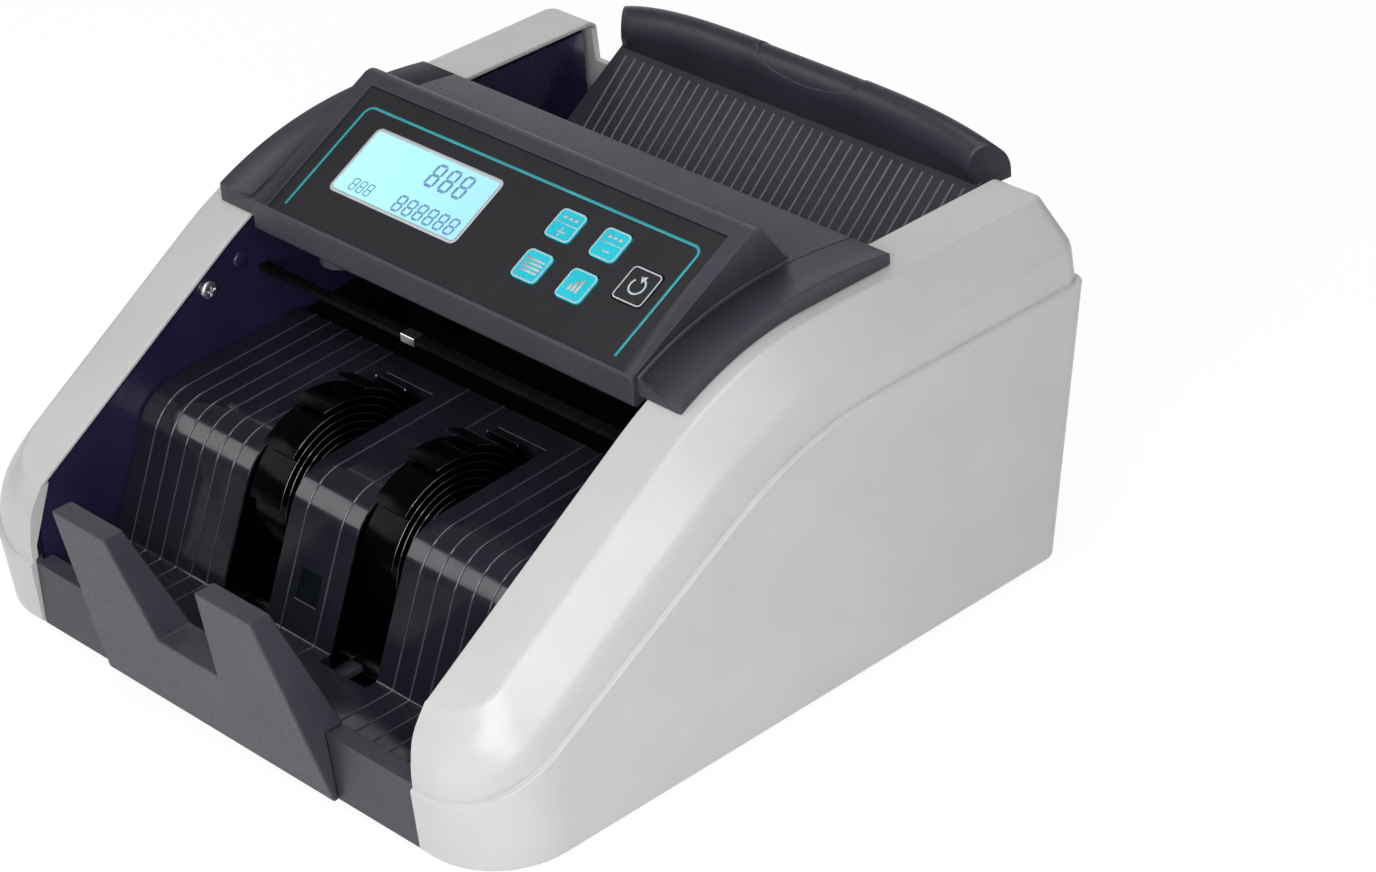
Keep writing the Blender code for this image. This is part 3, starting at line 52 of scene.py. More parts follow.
# Main places, read from the frame
COVER_LOW, COVER_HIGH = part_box("right_side_cover")
TUB_LOW, TUB_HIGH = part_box("base_tub")
TRAY_LOW, TRAY_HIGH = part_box("stacker_tray")
WHEEL_LOW, WHEEL_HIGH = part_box("right_impeller")
HOUSING_LOW, HOUSING_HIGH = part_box("panel_housing")
BRIDGE_LOW, BRIDGE_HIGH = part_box("bridge_frame")
HOPPER_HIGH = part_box("hopper_tray")[1]
SCREW_LOW, SCREW_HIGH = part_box("left_plate_screw")
PICKUP_LOW, PICKUP_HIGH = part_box("right_pickup_roller")
BAR_LOW, BAR_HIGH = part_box("note_guide_bar")
SIDE_PLATE_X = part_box("right_side_plate")[0].x
FRONT_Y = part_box("front_sill")[0].y
CHANNEL_HALF = COVER_LOW.x
SEAM_HALF = COVER_HIGH.x
HALF_WIDTH = TUB_HIGH.x
FOOT_HEIGHT = TUB_LOW.z
COVER_TOP_Z = COVER_HIGH.z
MACHINE = Matrix.Translation((0, FRONT_Y, 0))
IN_PLACE = Matrix.Identity(4)

# Clearance and tolerances, how finely shapes are divided, and how shaped meshes are shaded
GAP = 0.3 * MM
MERGE = 0.002 * MM
FLAT_ANGLE = math.radians(0.5)
SHARP_ANGLE = math.radians(40)
EASE_STEPS = 5
EASE_SHARE = 0.48
CORNER_STEPS = 14
SIDE_STEPS = 96
ARC_STEPS = 8
TURN_STEPS = 64
ROUND_SIDES = 10
EVEN_SHADE = ("WEIGHTED_NORMAL", {"weight": 80, "keep_sharp": True})

# White covers: a flat band, a bevel and a strip down to the seam, above the lower tub
COVER_WALL = 2.5 * MM
COVER_DRAFT = 0.8 * MM
COVER_REAR_Y = COVER_HIGH.y - FRONT_Y - 2 * COVER_DRAFT
CREASE_HALF = SEAM_HALF - 2.2 * MM
BAND_HALF = CREASE_HALF - 13.3 * MM
BAND_FRONT_Z = 51.6 * MM
CREASE_FRONT_Z = 35.8 * MM
SEAM_FRONT_Z = 29.2 * MM
CREASE_TOP_Z = COVER_TOP_Z - 14 * MM
SEAM_TOP_Z = CREASE_TOP_Z - 13 * MM
BAND_SLOPE = math.tan(math.radians(32.5))
SEAM_SLOPE = math.tan(math.radians(28.9))
ARCH_REACH = 35 * MM
NOSE_DEPTH = 8 * MM
TAIL_DEPTH = 4 * MM
TAIL_DROP = 2 * MM
BAND_FRONT_RADIUS = 15 * MM
CREASE_FRONT_RADIUS = 26 * MM
SEAM_FRONT_RADIUS = 30 * MM
COVER_REAR_RADIUS = 7 * MM
LIP_HEIGHT = 1.4 * MM
LEDGE = 0.7 * MM
COVER_EASES = (0.7 * MM, 1.3 * MM, 6.0 * MM, 2.6 * MM, 0.15 * MM)
TONGUE_BULGE = 2.6 * MM
TUB_EASES = (0.5 * MM, 1.6 * MM)
TUB_REAR_RADIUS = 7 * MM
TUB_FRONT_Y = TUB_LOW.y - FRONT_Y
TUB_REAR_Y = TUB_HIGH.y - FRONT_Y
TUB_FOOT_HALF = HALF_WIDTH - 2.5 * MM
TUB_FOOT_FRONT_Y = TUB_FRONT_Y + 1.3 * MM
TUB_FOOT_REAR_Y = TUB_REAR_Y - 15 * MM
REAR_WALL_LEAN = math.atan2(TUB_REAR_Y - TUB_FOOT_REAR_Y, SEAM_TOP_Z - FOOT_HEIGHT)

# Openings in the rear wall
INLET_Z = 40 * MM
INLET_X = -60 * MM
INLET_HALF = (13.5 * MM, 9.5 * MM)
SWITCH_X = -95 * MM
SWITCH_HALF = (6 * MM, 9.5 * MM)
SWITCH_PLAY = 0.6 * MM
KNOB_Z = SEAM_TOP_Z - 22 * MM
KNOB_STEM = 3 * MM

# Stacker tray and its ribs
TRAY_HALF = TRAY_HIGH.x
TRAY_FRONT_Y = TRAY_LOW.y - FRONT_Y
TRAY_FLOOR_Z = 24 * MM
TRAY_EDGE = 0.3 * MM
FACE_FOOT_Y = 34 * MM
FACE_FOOT_RADIUS = 1.5 * MM
NOSE_Y = 55.5 * MM
NOSE_Z = 72.2 * MM
NOSE_RADIUS = 20 * MM
NOSE_STEPS = 20
GUIDE_REAR_Z = 76 * MM
CENTRE_GUIDE_HALF = 17 * MM
SIDE_GUIDE_HALF = 41 * MM
SLOT_FRONT_Y = FACE_FOOT_Y - 4.5 * MM
# Sheets of painted shade on the slots' walls: how far in from the guides and how thick
WELL_INSET = 0.6 * MM
WELL_THICK = 0.2 * MM
GUIDE_RIB_RADIUS = 0.42 * MM
GUIDE_RIB_PITCH = 8.5 * MM
GUIDE_RIB_FIRST = 49.5 * MM
GUIDE_RIB_COUNT = 6
CENTRE_RIB_X = 9 * MM
SENSOR_HALF = 5.5 * MM
SENSOR_LOW_Z = 35 * MM
SENSOR_HIGH_Z = 45 * MM

# Impellers: thin fins that curl round a hub
WHEEL_Y = (WHEEL_LOW.y + WHEEL_HIGH.y) / 2 - FRONT_Y
WHEEL_Z = (WHEEL_LOW.z + WHEEL_HIGH.z) / 2
WHEEL_RADIUS = 36 * MM
WHEEL_HUB = 10 * MM
WHEEL_BORE = 4.3 * MM
WHEEL_WIDTH = WHEEL_HIGH.x - WHEEL_LOW.x
FIN_COUNT = 12
FIN_THICK = 0.7 * MM
FIN_SWEEP = math.radians(260)
FIN_BEAD = 0.36 * MM
FIN_STEPS = 80
HUB_STEPS = 48
SLOT_REAR_Y = WHEEL_Y + WHEEL_RADIUS - 5 * MM
TRAY_REAR_Y = WHEEL_Y + WHEEL_RADIUS + 5 * MM

# Control bridge
PANEL_Y = 153 * MM
PANEL_Z = COVER_TOP_Z + 16.2 * MM
PANEL_TILT = math.radians(27.8)
PANEL = Matrix.Translation((0, FRONT_Y + PANEL_Y, PANEL_Z)) @ Matrix.Rotation(PANEL_TILT, 4, "X")
HOUSING_HALF = HOUSING_HIGH.x
HOUSING_FRONT_Y = HOUSING_LOW.y - FRONT_Y
HOUSING_REAR_Y = HOUSING_HIGH.y - FRONT_Y
HOUSING_LIP_Z = COVER_TOP_Z - 18.5 * MM
HOUSING_SKIRT_Z = COVER_TOP_Z - 2 * MM
HOUSING_REAR_Z = COVER_TOP_Z + 6.4 * MM
RIDGE_Y = PANEL_Y + 13 * MM
RIDGE_RADIUS = 5 * MM
LIP_RADIUS = 1.5 * MM
BEZEL_HEIGHT = 0.9 * MM
FLANGE_HALF = BRIDGE_HIGH.x
FLANGE_FRONT_Y = BRIDGE_LOW.y - FRONT_Y
FLANGE_FRONT_THICK = 7.1 * MM
FLANGE_CROWN_Y = PANEL_Y - 3 * MM
FLANGE_CROWN_Z = COVER_TOP_Z + 13 * MM
FLANGE_STEPS = 48
DECK_REAR_Y = BRIDGE_HIGH.y - FRONT_Y
DECK_Z = COVER_TOP_Z + 4.4 * MM
GROOVE_X = 99.6 * MM
GROOVE_WIDTH = 0.7 * MM
GROOVE_DEPTH = 0.8 * MM
BRIDGE_EDGE = 1.8 * MM
BOSS_X = -60 * MM
BOSS_FRONT_Y = HOUSING_FRONT_Y + 1 * MM
BOSS_TOP_Z = HOUSING_LIP_Z + 4 * MM
BOSS_SIZE = (8 * MM, 8 * MM, 7 * MM)
BOSS_EDGE = 0.6 * MM
HOUSING_EDGE = 1.2 * MM

# Panel, measured on its own slope
OVERLAY_HALF = HOUSING_HALF - 7.5 * MM
OVERLAY_TOP = 7.1 * MM
OVERLAY_BOTTOM = -50 * MM
OVERLAY_THICK = 1.2 * MM
LCD_LEFT = -72 * MM
LCD_RIGHT = -7 * MM
LCD_TOP = -6.5 * MM
LCD_BOTTOM = -34.2 * MM
LCD_CORNER = 2 * MM
LCD_SINK = 0.15 * MM
LCD_RIM = 2 * MM
LCD_BACK = -6.1 * MM
LCD_EDGE = 0.1 * MM
LCD_LINE = 1.3 * MM
BORDER_HALF = 83.8 * MM
BORDER_BOTTOM = -46.5 * MM
BORDER_CORNER = 3.5 * MM
BORDER_WIDTH = 1.1 * MM
INK = 0.06 * MM
INK_ROOT = -0.05 * MM
KEY_RISE = 0.4 * MM
KEY_CORNER = 2.2 * MM
KEY_EDGE = 0.25 * MM
KEY_LINE = 0.5 * MM
KEY_LINE_INSET = 0.55 * MM
# Each row of digits: left, foot, how many, pitch, width, height and stroke
DIGIT_ROWS = (
    (34.3 * MM, -12.8 * MM, 3, 7.1 * MM, 5.2 * MM, 10.2 * MM, 1.15 * MM),
    (6.9 * MM, -25.4 * MM, 3, 3.9 * MM, 2.9 * MM, 5.3 * MM, 0.50 * MM),
    (30.0 * MM, -26.1 * MM, 6, 5.4 * MM, 4.2 * MM, 7.2 * MM, 0.85 * MM),
)
DIGIT_SLANT = 0.07
DIGIT_NIP = 0.12
# Each key: the place of its centre and half its side
KEYS = {
    "plus": (29.0 * MM, -11.9 * MM, 6.2 * MM),
    "minus": (50.6 * MM, -11.9 * MM, 6.2 * MM),
    "batch": (29.0 * MM, -30.0 * MM, 6.2 * MM),
    "add": (50.6 * MM, -30.0 * MM, 6.2 * MM),
    "restart": (72.2 * MM, -21.5 * MM, 7.1 * MM),
}

# Hopper: a tilted plate, its ribs and the bowed roll
HOPPER_HALF = HOPPER_HIGH.x
HOPPER_TILT = math.radians(41)
HOPPER_LENGTH = 70 * MM
HOPPER_PLATE = 2.5 * MM
HOPPER_EDGE = 0.5 * MM
PICKUP_PLAY = 0.8 * MM
HOPPER_TOP_Y = COVER_REAR_Y + 3 * MM
HOPPER_TOP_Z = COVER_TOP_Z - 7 * MM
ROLL_HALF = HOPPER_HALF - 8 * MM
ROLL_REAR_Y = HOPPER_HIGH.y - FRONT_Y
ROLL_END_RISE = 12.5 * MM
ROLL_CREST_RISE = 19.6 * MM
ROLL_FRONT_Y = HOPPER_TOP_Y - 3 * MM
ROLL_FLARE = 4 * MM
ROLL_FOOT = 2 * MM
ROLL_DOME = 9.5 * MM
ROLL_STEPS = 60
HOPPER_RIB_COUNT = 36
HOPPER_RIB_PITCH = 4.85 * MM
HOPPER_RIB_RADIUS = 0.45 * MM
HOPPER_RIB_START = 4.5 * MM
HOPPER_RIB_END = 69 * MM
SCOOP_X = 6.5 * MM
SCOOP_HALF = 25.5 * MM
SCOOP_DROP = 7.5 * MM
SCOOP_DEPTH = 0.3 * MM

# Plate under the notes' way
CHUTE_HALF = CHANNEL_HALF - 0.5 * MM
CHUTE_REAR_Y = TRAY_HIGH.y - FRONT_Y
CHUTE_REAR_Z = TRAY_HIGH.z
CHUTE_STEP = 1.5 * MM
CHUTE_LIP = 12 * MM
CHUTE_THICK = 1.5 * MM
CHUTE_BEND = 2 * MM
CHUTE_INNER_BEND = 0.5 * MM
CHUTE_EDGE = 0.3 * MM

# Small fittings in the channel
DIMPLE_Y = 102.7 * MM
DIMPLE_Z = 103.8 * MM
DIMPLE_SIZE = (3.2 * MM, 1.2 * MM)
DIMPLE_ROOT = 0.3 * MM
CLIP_X = -24 * MM
CLIP_WIDTH = 7 * MM
CLIP_THICK = 0.6 * MM
CLIP_DROP = 0.6 * MM
CLIP_EDGE = 0.15 * MM
SCREW_HEAD = 1.8 * MM
SCREW_SHANK = 1.8 * MM
SCREW_EDGE = 0.12 * MM
SMALL_TURN_STEPS = 32

# Edges of the plain pieces
SILL_EDGE = 0.7 * MM
FITTING_EDGE = 0.3 * MM
ROCKER_EDGE = 0.4 * MM
FOOT_EDGE = 0.6 * MM

# How a finish varies: where its noise gives each tone, the grain's span, and the bump
TONE_STOPS = (0.35, 0.65)
GRAIN_RANGE = (0.3, 0.7)
BUMP_STRENGTH = 0.6
MOTTLE_DETAIL = 3.0
GRAIN_DETAIL = 2.0

# Camera and studio
IMAGE_WIDTH = 1376
FOCAL_PIXELS = 4072.3
SENSOR_WIDTH = 36.0
CAMERA_TARGET = Vector((0.0467, 0.0404, 0.0565))
CAMERA_DISTANCE = 1.3972
CAMERA_AZIMUTH = math.radians(48.231)
CAMERA_ELEVATION = math.radians(30.386)
CAMERA_ROLL = math.radians(-4.178)
FLOOR_REACH = 4.0
# The floor glows more for the camera and in gloss than as light on the machine, and the world for the
# camera alone
FLOOR_GREY = 0.82
FLOOR_GLOW = 1.08
FLOOR_SHARE = (0.12, 0.85)
WORLD_LEVEL = (0.14, 1.0)
MIDDLE = (0, 0, 0.08)
RIGHT_CORNER = (0.12, -0.12, 0.05)
# Each lamp: where it aims, its azimuth and elevation in degrees, distance, width and power in watts
LAMPS = (
    ("front_softbox", RIGHT_CORNER, 40, 30, 0.75, 0.50, 4.2),
    ("bevel_light", RIGHT_CORNER, 64, 53, 0.90, 0.14, 0.6),
    ("right_softbox", RIGHT_CORNER, 78, 41, 1.2, 0.17, 0.9),
    ("left_softbox", MIDDLE, -50, 28, 1.2, 0.50, 2.2),
    ("top_light", MIDDLE, 20, 84, 1.3, 1.00, 5.8),
    ("rear_light", MIDDLE, -138, 16, 1.3, 1.10, 2.6),
)


def smooth_mesh(bm):
    """The mesh that bmesh work has made, shaded smooth."""
    mesh = bpy.data.meshes.new("mesh")
    bm.to_mesh(mesh)
    bm.free()
    mesh.shade_smooth()
    return mesh


def spread(sweep, count):
    """Even steps from nothing to a whole sweep."""
    return [sweep * i / count for i in range(count + 1)]


def linked(name, data):
    """A new object in the scene for a mesh, a light or a camera."""
    obj = bpy.data.objects.new(name, data)
    bpy.context.scene.collection.objects.link(obj)
    return obj


def outward(azimuth, elevation):
    """The way from the machine towards a place; azimuth 0 is straight in front."""
    level = math.cos(elevation)
    return Vector((math.sin(azimuth) * level, -math.cos(azimuth) * level, math.sin(elevation)))


def skin(rings, loop=False):
    """A closed mesh through rings of equal length, capped at both ends or joined end to end."""
    bm = bmesh.new()
    rows = [[bm.verts.new(point) for point in ring] for ring in rings]
    pairs = list(zip(rows, rows[1:]))
    if loop:
        pairs.append((rows[-1], rows[0]))
    else:
        bm.faces.new(rows[0])
        bm.faces.new(rows[-1])
    for low, high in pairs:
        for i in range(len(low)):
            bm.faces.new((low[i - 1], low[i], high[i], high[i - 1]))
    bmesh.ops.remove_doubles(bm, verts=bm.verts, dist=MERGE)
    bmesh.ops.recalc_face_normals(bm, faces=bm.faces)
    return smooth_mesh(bm)


def prism(outline, x0, x1):
    """A side outline of (y, z) points, drawn out along X."""
    return skin([[(x, y, z) for y, z in outline] for x in (x0, x1)])


def slab(outline, z0, z1):
    """A plan outline of (x, y) points, drawn out along Z."""
    return skin([[(x, y, z) for x, y in outline] for z in (z0, z1)])


def rect(x0, y0, x1, y1):
    return [(x0, y0), (x1, y0), (x1, y1), (x0, y1)]


def box(low, high):
    (x0, y0, z0), (x1, y1, z1) = low, high
    return slab(rect(x0, y0, x1, y1), z0, z1)


def circle(radius, count=TURN_STEPS):
    turn = 2 * math.pi / count
    return [(radius * math.cos(i * turn), radius * math.sin(i * turn)) for i in range(count)]


def lathe(profile, count=TURN_STEPS):
    """A (radius, z) profile spun round Z; where it starts and ends on the axis the mesh closes there."""
    turns = [2 * math.pi * i / count for i in range(count)]
    return skin([[(r * math.cos(a), r * math.sin(a), z) for r, z in profile] for a in turns], loop=True)


def joined(meshes):
    """Several meshes as one."""
    bm = bmesh.new()
    for mesh in meshes:
        bm.from_mesh(mesh)
    return smooth_mesh(bm)


def rounded(corners, steps=ARC_STEPS):
    """An outline from (u, v, radius) corners, with an arc at each corner that has a radius."""
    outline = []
    for i, (u, v, radius) in enumerate(corners):
        corner = Vector((u, v))
        if radius == 0:
            outline.append((u, v))
            continue
        to_last = (Vector(corners[i - 1][:2]) - corner).normalized()
        to_next = (Vector(corners[(i + 1) % len(corners)][:2]) - corner).normalized()
        half = to_last.angle(to_next) / 2
        centre = corner + (to_last + to_next).normalized() * radius / math.sin(half)
        start = corner + to_last * radius / math.tan(half) - centre
        end = corner + to_next * radius / math.tan(half) - centre
        first = math.atan2(start.y, start.x)
        sweep = math.remainder(math.atan2(end.y, end.x) - first, 2 * math.pi)
        for turn in spread(sweep, steps):
            angle = first + turn
            outline.append((centre.x + radius * math.cos(angle), centre.y + radius * math.sin(angle)))
    return outline


def rounded_rect(x0, y0, x1, y1, radius):
    return rounded([(x, y, radius) for x, y in rect(x0, y0, x1, y1)])


def eased(points, reaches):
    """A line of points whose inner corners are rounded over a given reach each way."""
    line = [points[0]]
    for before, corner, after, reach in zip(points, points[1:], points[2:], reaches):
        back = before - corner
        forth = after - corner
        start = corner + back.normalized() * min(reach, back.length * EASE_SHARE)
        end = corner + forth.normalized() * min(reach, forth.length * EASE_SHARE)
        for t in spread(1, EASE_STEPS):
            line.append(start * (1 - t) ** 2 + corner * 2 * t * (1 - t) + end * t ** 2)
    line.append(points[-1])
    return line


def ribbon(path, width, z0, z1, loop):
    """A flat line of even width along a plan path of (x, y) points."""
    points = [Vector(point) for point in path]
    count = len(points)
    rings = []
    for i, point in enumerate(points):
        before = points[i - 1] if loop or i else point
        after = points[(i + 1) % count] if loop or i < count - 1 else point
        along = (after - before).normalized()
        side = Vector((-along.y, along.x)) * width / 2
        left, right = point + side, point - side
        rings.append([(*left, z0), (*right, z0), (*right, z1), (*left, z1)])
    return skin(rings, loop)


def shaped(mesh, *steps):
    """A mesh taken through steps and then shaded evenly.

    A step is CUT or JOIN with another mesh, or a modifier's kind with its settings.
    """
    workers = [linked("worker", mesh)]
    for kind, value in (*steps, EVEN_SHADE):
        if kind in ("CUT", "JOIN"):
            workers.append(linked("helper", value))
            modifier = workers[0].modifiers.new(kind, "BOOLEAN")
            modifier.operation = "DIFFERENCE" if kind == "CUT" else "UNION"
            modifier.object = workers[-1]
            continue
        modifier = workers[0].modifiers.new(kind, kind)
        for name, setting in value.items():
            setattr(modifier, name, setting)
    graph = bpy.context.evaluated_depsgraph_get()
    result = bpy.data.meshes.new_from_object(
        workers[0].evaluated_get(graph), preserve_all_data_layers=True, depsgraph=graph)
    for worker in workers:
        bpy.data.objects.remove(worker)
    return result


def edge_round(width, segments=3, angle=30):
    """The step that rounds every edge sharper than an angle in degrees."""
    return "BEVEL", {"width": width, "segments": segments, "limit_method": "ANGLE",
                     "angle_limit": math.radians(angle)}


def cad_copy(node):
    """A CAD node's mesh with its loose triangles joined and its flat faces whole again."""
    bm = bmesh.new()
    bm.from_mesh(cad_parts[node].data)
    bmesh.ops.remove_doubles(bm, verts=bm.verts, dist=MERGE)
    bmesh.ops.dissolve_limit(bm, angle_limit=FLAT_ANGLE, verts=bm.verts, edges=bm.edges)
    return smooth_mesh(bm)


def piece(name, mesh, finish, body="casing", at=MACHINE, stands_for=()):
    """A finished piece: moved to its place, given its material, and tied to its body."""
    mesh.name = name
    mesh.transform(at)
    mesh.materials.clear()
    mesh.materials.append(finish)
    obj = linked(name, mesh)
    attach(obj, body)
    if stands_for:
        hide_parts(*stands_for)
    return obj


def softened(node, width, finish, body="casing", segments=3):
    """A CAD node with its edges rounded, which stands for that node."""
    mesh = shaped(cad_copy(node), edge_round(width, segments))
    return piece(node + "_shell", mesh, finish, body, IN_PLACE, (node,))


def linear(code):
    """An sRGB hex colour as linear red, green, blue and alpha."""
    channels = [int(code[i:i + 2], 16) / 255 for i in (0, 2, 4)]
    return [c / 12.92 if c <= 0.04045 else ((c + 0.055) / 1.055) ** 2.4 for c in channels] + [1.0]


def feed(tree, node, inputs):
    """Sets a node's inputs: each is a value, a socket to link from, or a node whose first output is meant."""
    for name, value in inputs.items():
        if isinstance(value, bpy.types.Node):
            value = value.outputs[0]
        if isinstance(value, bpy.types.NodeSocket):
            tree.links.new(value, node.inputs[name])
        else:
            node.inputs[name].default_value = value


def add(tree, kind, inputs=None, **settings):
    """Adds a node with its settings and inputs."""
    node = tree.nodes.new(kind)
    for name, value in settings.items():
        setattr(node, name, value)
    feed(tree, node, inputs or {})
    return node


def surface(name, light, dark, sizes, roughness, stretch=(1, 1, 1), across=None, **sockets):
    """A material that drifts between two tones over the mottle's size, with a grain for roughness and bump.

    The sizes are the mottle's, the grain's and its depth, in millimetres. A stretch above 1 draws the grain
    finer along that axis. With two places along X, the tones run evenly from the dark one at the first to
    the light one at the second.
    """
    mottle, grain, depth = [size * MM for size in sizes]
    material = bpy.data.materials.new(name)
    material.use_nodes = True
    tree = material.node_tree
    shader = tree.nodes["Principled BSDF"]
    place = add(tree, "ShaderNodeTexCoord").outputs["Object"]
    run = add(tree, "ShaderNodeMapping", {"Vector": place, "Scale": stretch})
    drift = add(tree, "ShaderNodeTexNoise", {"Vector": place, "Scale": 1 / mottle, "Detail": MOTTLE_DETAIL})
    if across:
        x = add(tree, "ShaderNodeSeparateXYZ", {"Vector": place})
        drift = add(tree, "ShaderNodeMapRange", {
            "Value": x, "From Min": across[0], "From Max": across[1],
            "To Min": TONE_STOPS[0], "To Max": TONE_STOPS[1]})
    tone = add(tree, "ShaderNodeValToRGB", {"Fac": drift})
    for stop, position, colour in zip(tone.color_ramp.elements, TONE_STOPS, (dark, light)):
        stop.position = position
        stop.color = linear(colour)
    fine = add(tree, "ShaderNodeTexNoise", {"Vector": run, "Scale": 1 / grain, "Detail": GRAIN_DETAIL})
    gloss = add(tree, "ShaderNodeMapRange", {
        "Value": fine, "From Min": GRAIN_RANGE[0], "From Max": GRAIN_RANGE[1],
        "To Min": roughness[0], "To Max": roughness[1]})
    bump = add(tree, "ShaderNodeBump", {"Height": fine, "Strength": BUMP_STRENGTH, "Distance": depth})
    feed(tree, shader, {"Base Color": tone, "Roughness": gloss, "Normal": bump})
    titles = {key: key.replace("_", " ").title().replace("Ior", "IOR") for key in sockets}
    feed(tree, shader, {titles[key]: value for key, value in sockets.items()})
    return material


def make_finishes():
    """Every finish of the machine, named for what it is, how its surface was made, and any light or shade
    painted into it.

    The real grain of a mould or a print is finer than the picture can show, so it is drawn coarser here.
    """
    return {
        # Pearl-pigmented ABS from a fine-textured mould: a satin sheen under a glossier skin, finely speckled
        "white": surface("pearl_white_abs", "D1D1D0", "CBCBCA", (45, 0.8, 0.03), (0.30, 0.44),
                         coat_weight=0.45, coat_roughness=0.26),
        # Dark ABS from a spark-eroded mould: matt, with a soft broad highlight
        "dark": surface("dark_grey_abs", "40404A", "393943", (30, 0.9, 0.05), (0.40, 0.54)),
        # The same ABS for the ribs, painted lighter to stand for the highlight along their crests, and less
        # rough
        "rib": surface("dark_grey_abs_painted_highlight", "73737C", "696972", (25, 1.5, 0.01), (0.25, 0.36)),
        # The same ABS, painted darker for the hopper to stand for the shade it lies in behind the bridge
        "slate": surface("dark_grey_abs_painted_shade", "353541", "2E2E39", (30, 0.9, 0.05), (0.36, 0.50)),
        # Smoke-blue polystyrene from a polished mould: near black, mirror-like, with faint smears
        "smoke": surface("smoke_blue_polystyrene", "23242E", "1C1D26", (30, 14, 0.05), (0.08, 0.20),
                         specular_ior_level=0.4, coat_weight=0.2, coat_roughness=0.06),
        # The same polystyrene along the ribs, painted paler to stand for the highlight along their crests,
        # and glossier
        "smoke_rib": surface("smoke_blue_polystyrene_painted_highlight", "40424E", "363844", (20, 5, 0.01),
                             (0.06, 0.12), specular_ior_level=0.9, coat_weight=0.8, coat_roughness=0.05),
        # Navy enamel stoved on sheet steel: deep, glossy, with a slight orange peel
        "navy": surface("navy_stove_enamel", "2A2748", "221F3E", (40, 2.2, 0.02), (0.22, 0.34),
                        coat_weight=0.4, coat_roughness=0.1),
        # Zinc-plated steel, drawn along its length: bright, with fine lines along X
        "steel": surface("zinc_plated_steel", "C6C8CB", "A9ACB0", (12, 1.2, 0.01), (0.16, 0.34),
                         stretch=(0.1, 1, 1), metallic=1.0),
        # Sintered bronze: dull gold, with open pores
        "bronze": surface("sintered_bronze", "9A7F4C", "7C683F", (4, 0.6, 0.03), (0.35, 0.55),
                          metallic=1.0),
        # Black nylon from a polished mould: glossy, with small sharp glints on its edges
        "black": surface("gloss_black_nylon", "0A0A0C", "060608", (20, 6, 0.01), (0.05, 0.12)),
        # Black polyurethane from a polished mould, which swallows the light between the fins; the same near
        # black is painted on the slots' walls as shade
        "fin": surface("black_polyurethane", "040405", "030303", (15, 4, 0.01), (0.10, 0.20),
                       specular_ior_level=0.05),
        # The same moulding along the fins' edges, glossy where the mould was polished
        "bead": surface("black_polyurethane_gloss", "0C0C0F", "08080A", (10, 1.0, 0.01), (0.06, 0.12),
                        specular_ior_level=1.0, coat_weight=1.0, coat_roughness=0.04),
        # Steel painted near black and dull, for the shade under the bridge where the bar runs
        "shaded_steel": surface("steel_painted_shade", "0B0B0E", "070709", (10, 1.2, 0.01), (0.45, 0.60),
                         specular_ior_level=0.2),
        # Zinc-plated screw heads, tumbled: bright and slightly frosted
        "zinc": surface("tumbled_zinc_plate", "F2F3F5", "DFE1E4", (3, 0.5, 0.02), (0.24, 0.38),
                        metallic=1.0),
        # Black nitrile rubber, ground: matt, with a dusty bloom
        "rubber": surface("black_nitrile_rubber", "242427", "17171A", (5, 0.7, 0.06), (0.62, 0.85)),
        # Black enamel on a rolled motor can
        "motor": surface("black_motor_enamel", "26272B", "1C1D20", (15, 1.5, 0.02), (0.3, 0.45),
                         metallic=0.4),
        # Printed polyester film: charcoal, with a fine even tooth
        "film": surface("charcoal_polyester_film", "27272C", "212126", (35, 0.7, 0.015), (0.40, 0.52)),
        "teal": surface("teal_screen_ink", "33ABB6", "2B9DA8", (12, 0.8, 0.01), (0.36, 0.48)),
        "pale": surface("pale_grey_screen_ink", "CDD6D9", "BFC9CD", (12, 0.8, 0.01), (0.36, 0.48)),
        "cyan": surface("cyan_key_film", "27D2E6", "20C7DB", (14, 0.8, 0.012), (0.36, 0.48)),
        "black_film": surface("black_key_film", "2A2A2D", "242427", (14, 0.8, 0.012), (0.36, 0.48)),
        # Reflective display behind a clear window: from mint to pale blue, lit from its edge
        "display": surface("pale_cyan_display", "98CDEA", "AEEBEA", (55, 8, 0.004), (0.10, 0.18),
                           across=(LCD_LEFT, LCD_RIGHT), emission_color=linear("A5E6F5"),
                           emission_strength=0.44),
        "segment": surface("display_segment_ink", "84B0DA", "79A6D2", (10, 1, 0.004), (0.15, 0.25)),
        # Infrared-passing acrylic: almost black, polished
        "sensor": surface("infrared_acrylic", "141A1C", "0E1214", (6, 3, 0.005), (0.04, 0.10)),
        # Glass-fibre circuit board under green solder mask
        "board": surface("green_solder_mask", "24653F", "1B5233", (9, 1.2, 0.02), (0.32, 0.5)),
        # Varnished transformer laminations
        "iron": surface("varnished_laminations", "6A6C70", "55575B", (8, 0.5, 0.05), (0.35, 0.5),
                        stretch=(0.1, 1, 1), metallic=0.8),
    }


def slope_then_flat(y, start_z, slope, flat_z):
    """Height of an edge that climbs from the front and rounds over into a level top."""
    meet = (flat_z - start_z) / slope
    if y <= meet - ARCH_REACH:
        return start_z + slope * y
    if y >= meet + ARCH_REACH:
        return flat_z
    return flat_z - slope * (meet + ARCH_REACH - y) ** 2 / (4 * ARCH_REACH)


def band_z(y):
    """Height of the covers' flat band, which drops away at the tail."""
    tail = max(0.0, y - COVER_REAR_Y + TAIL_DEPTH) / TAIL_DEPTH
    return slope_then_flat(y, BAND_FRONT_Z, BAND_SLOPE, COVER_TOP_Z) - TAIL_DROP * tail ** 2


def crease_z(y):
    return slope_then_flat(y, CREASE_FRONT_Z, BAND_SLOPE, CREASE_TOP_Z)


def seam_z(y):
    return slope_then_flat(y, SEAM_FRONT_Z, SEAM_SLOPE, SEAM_TOP_Z)


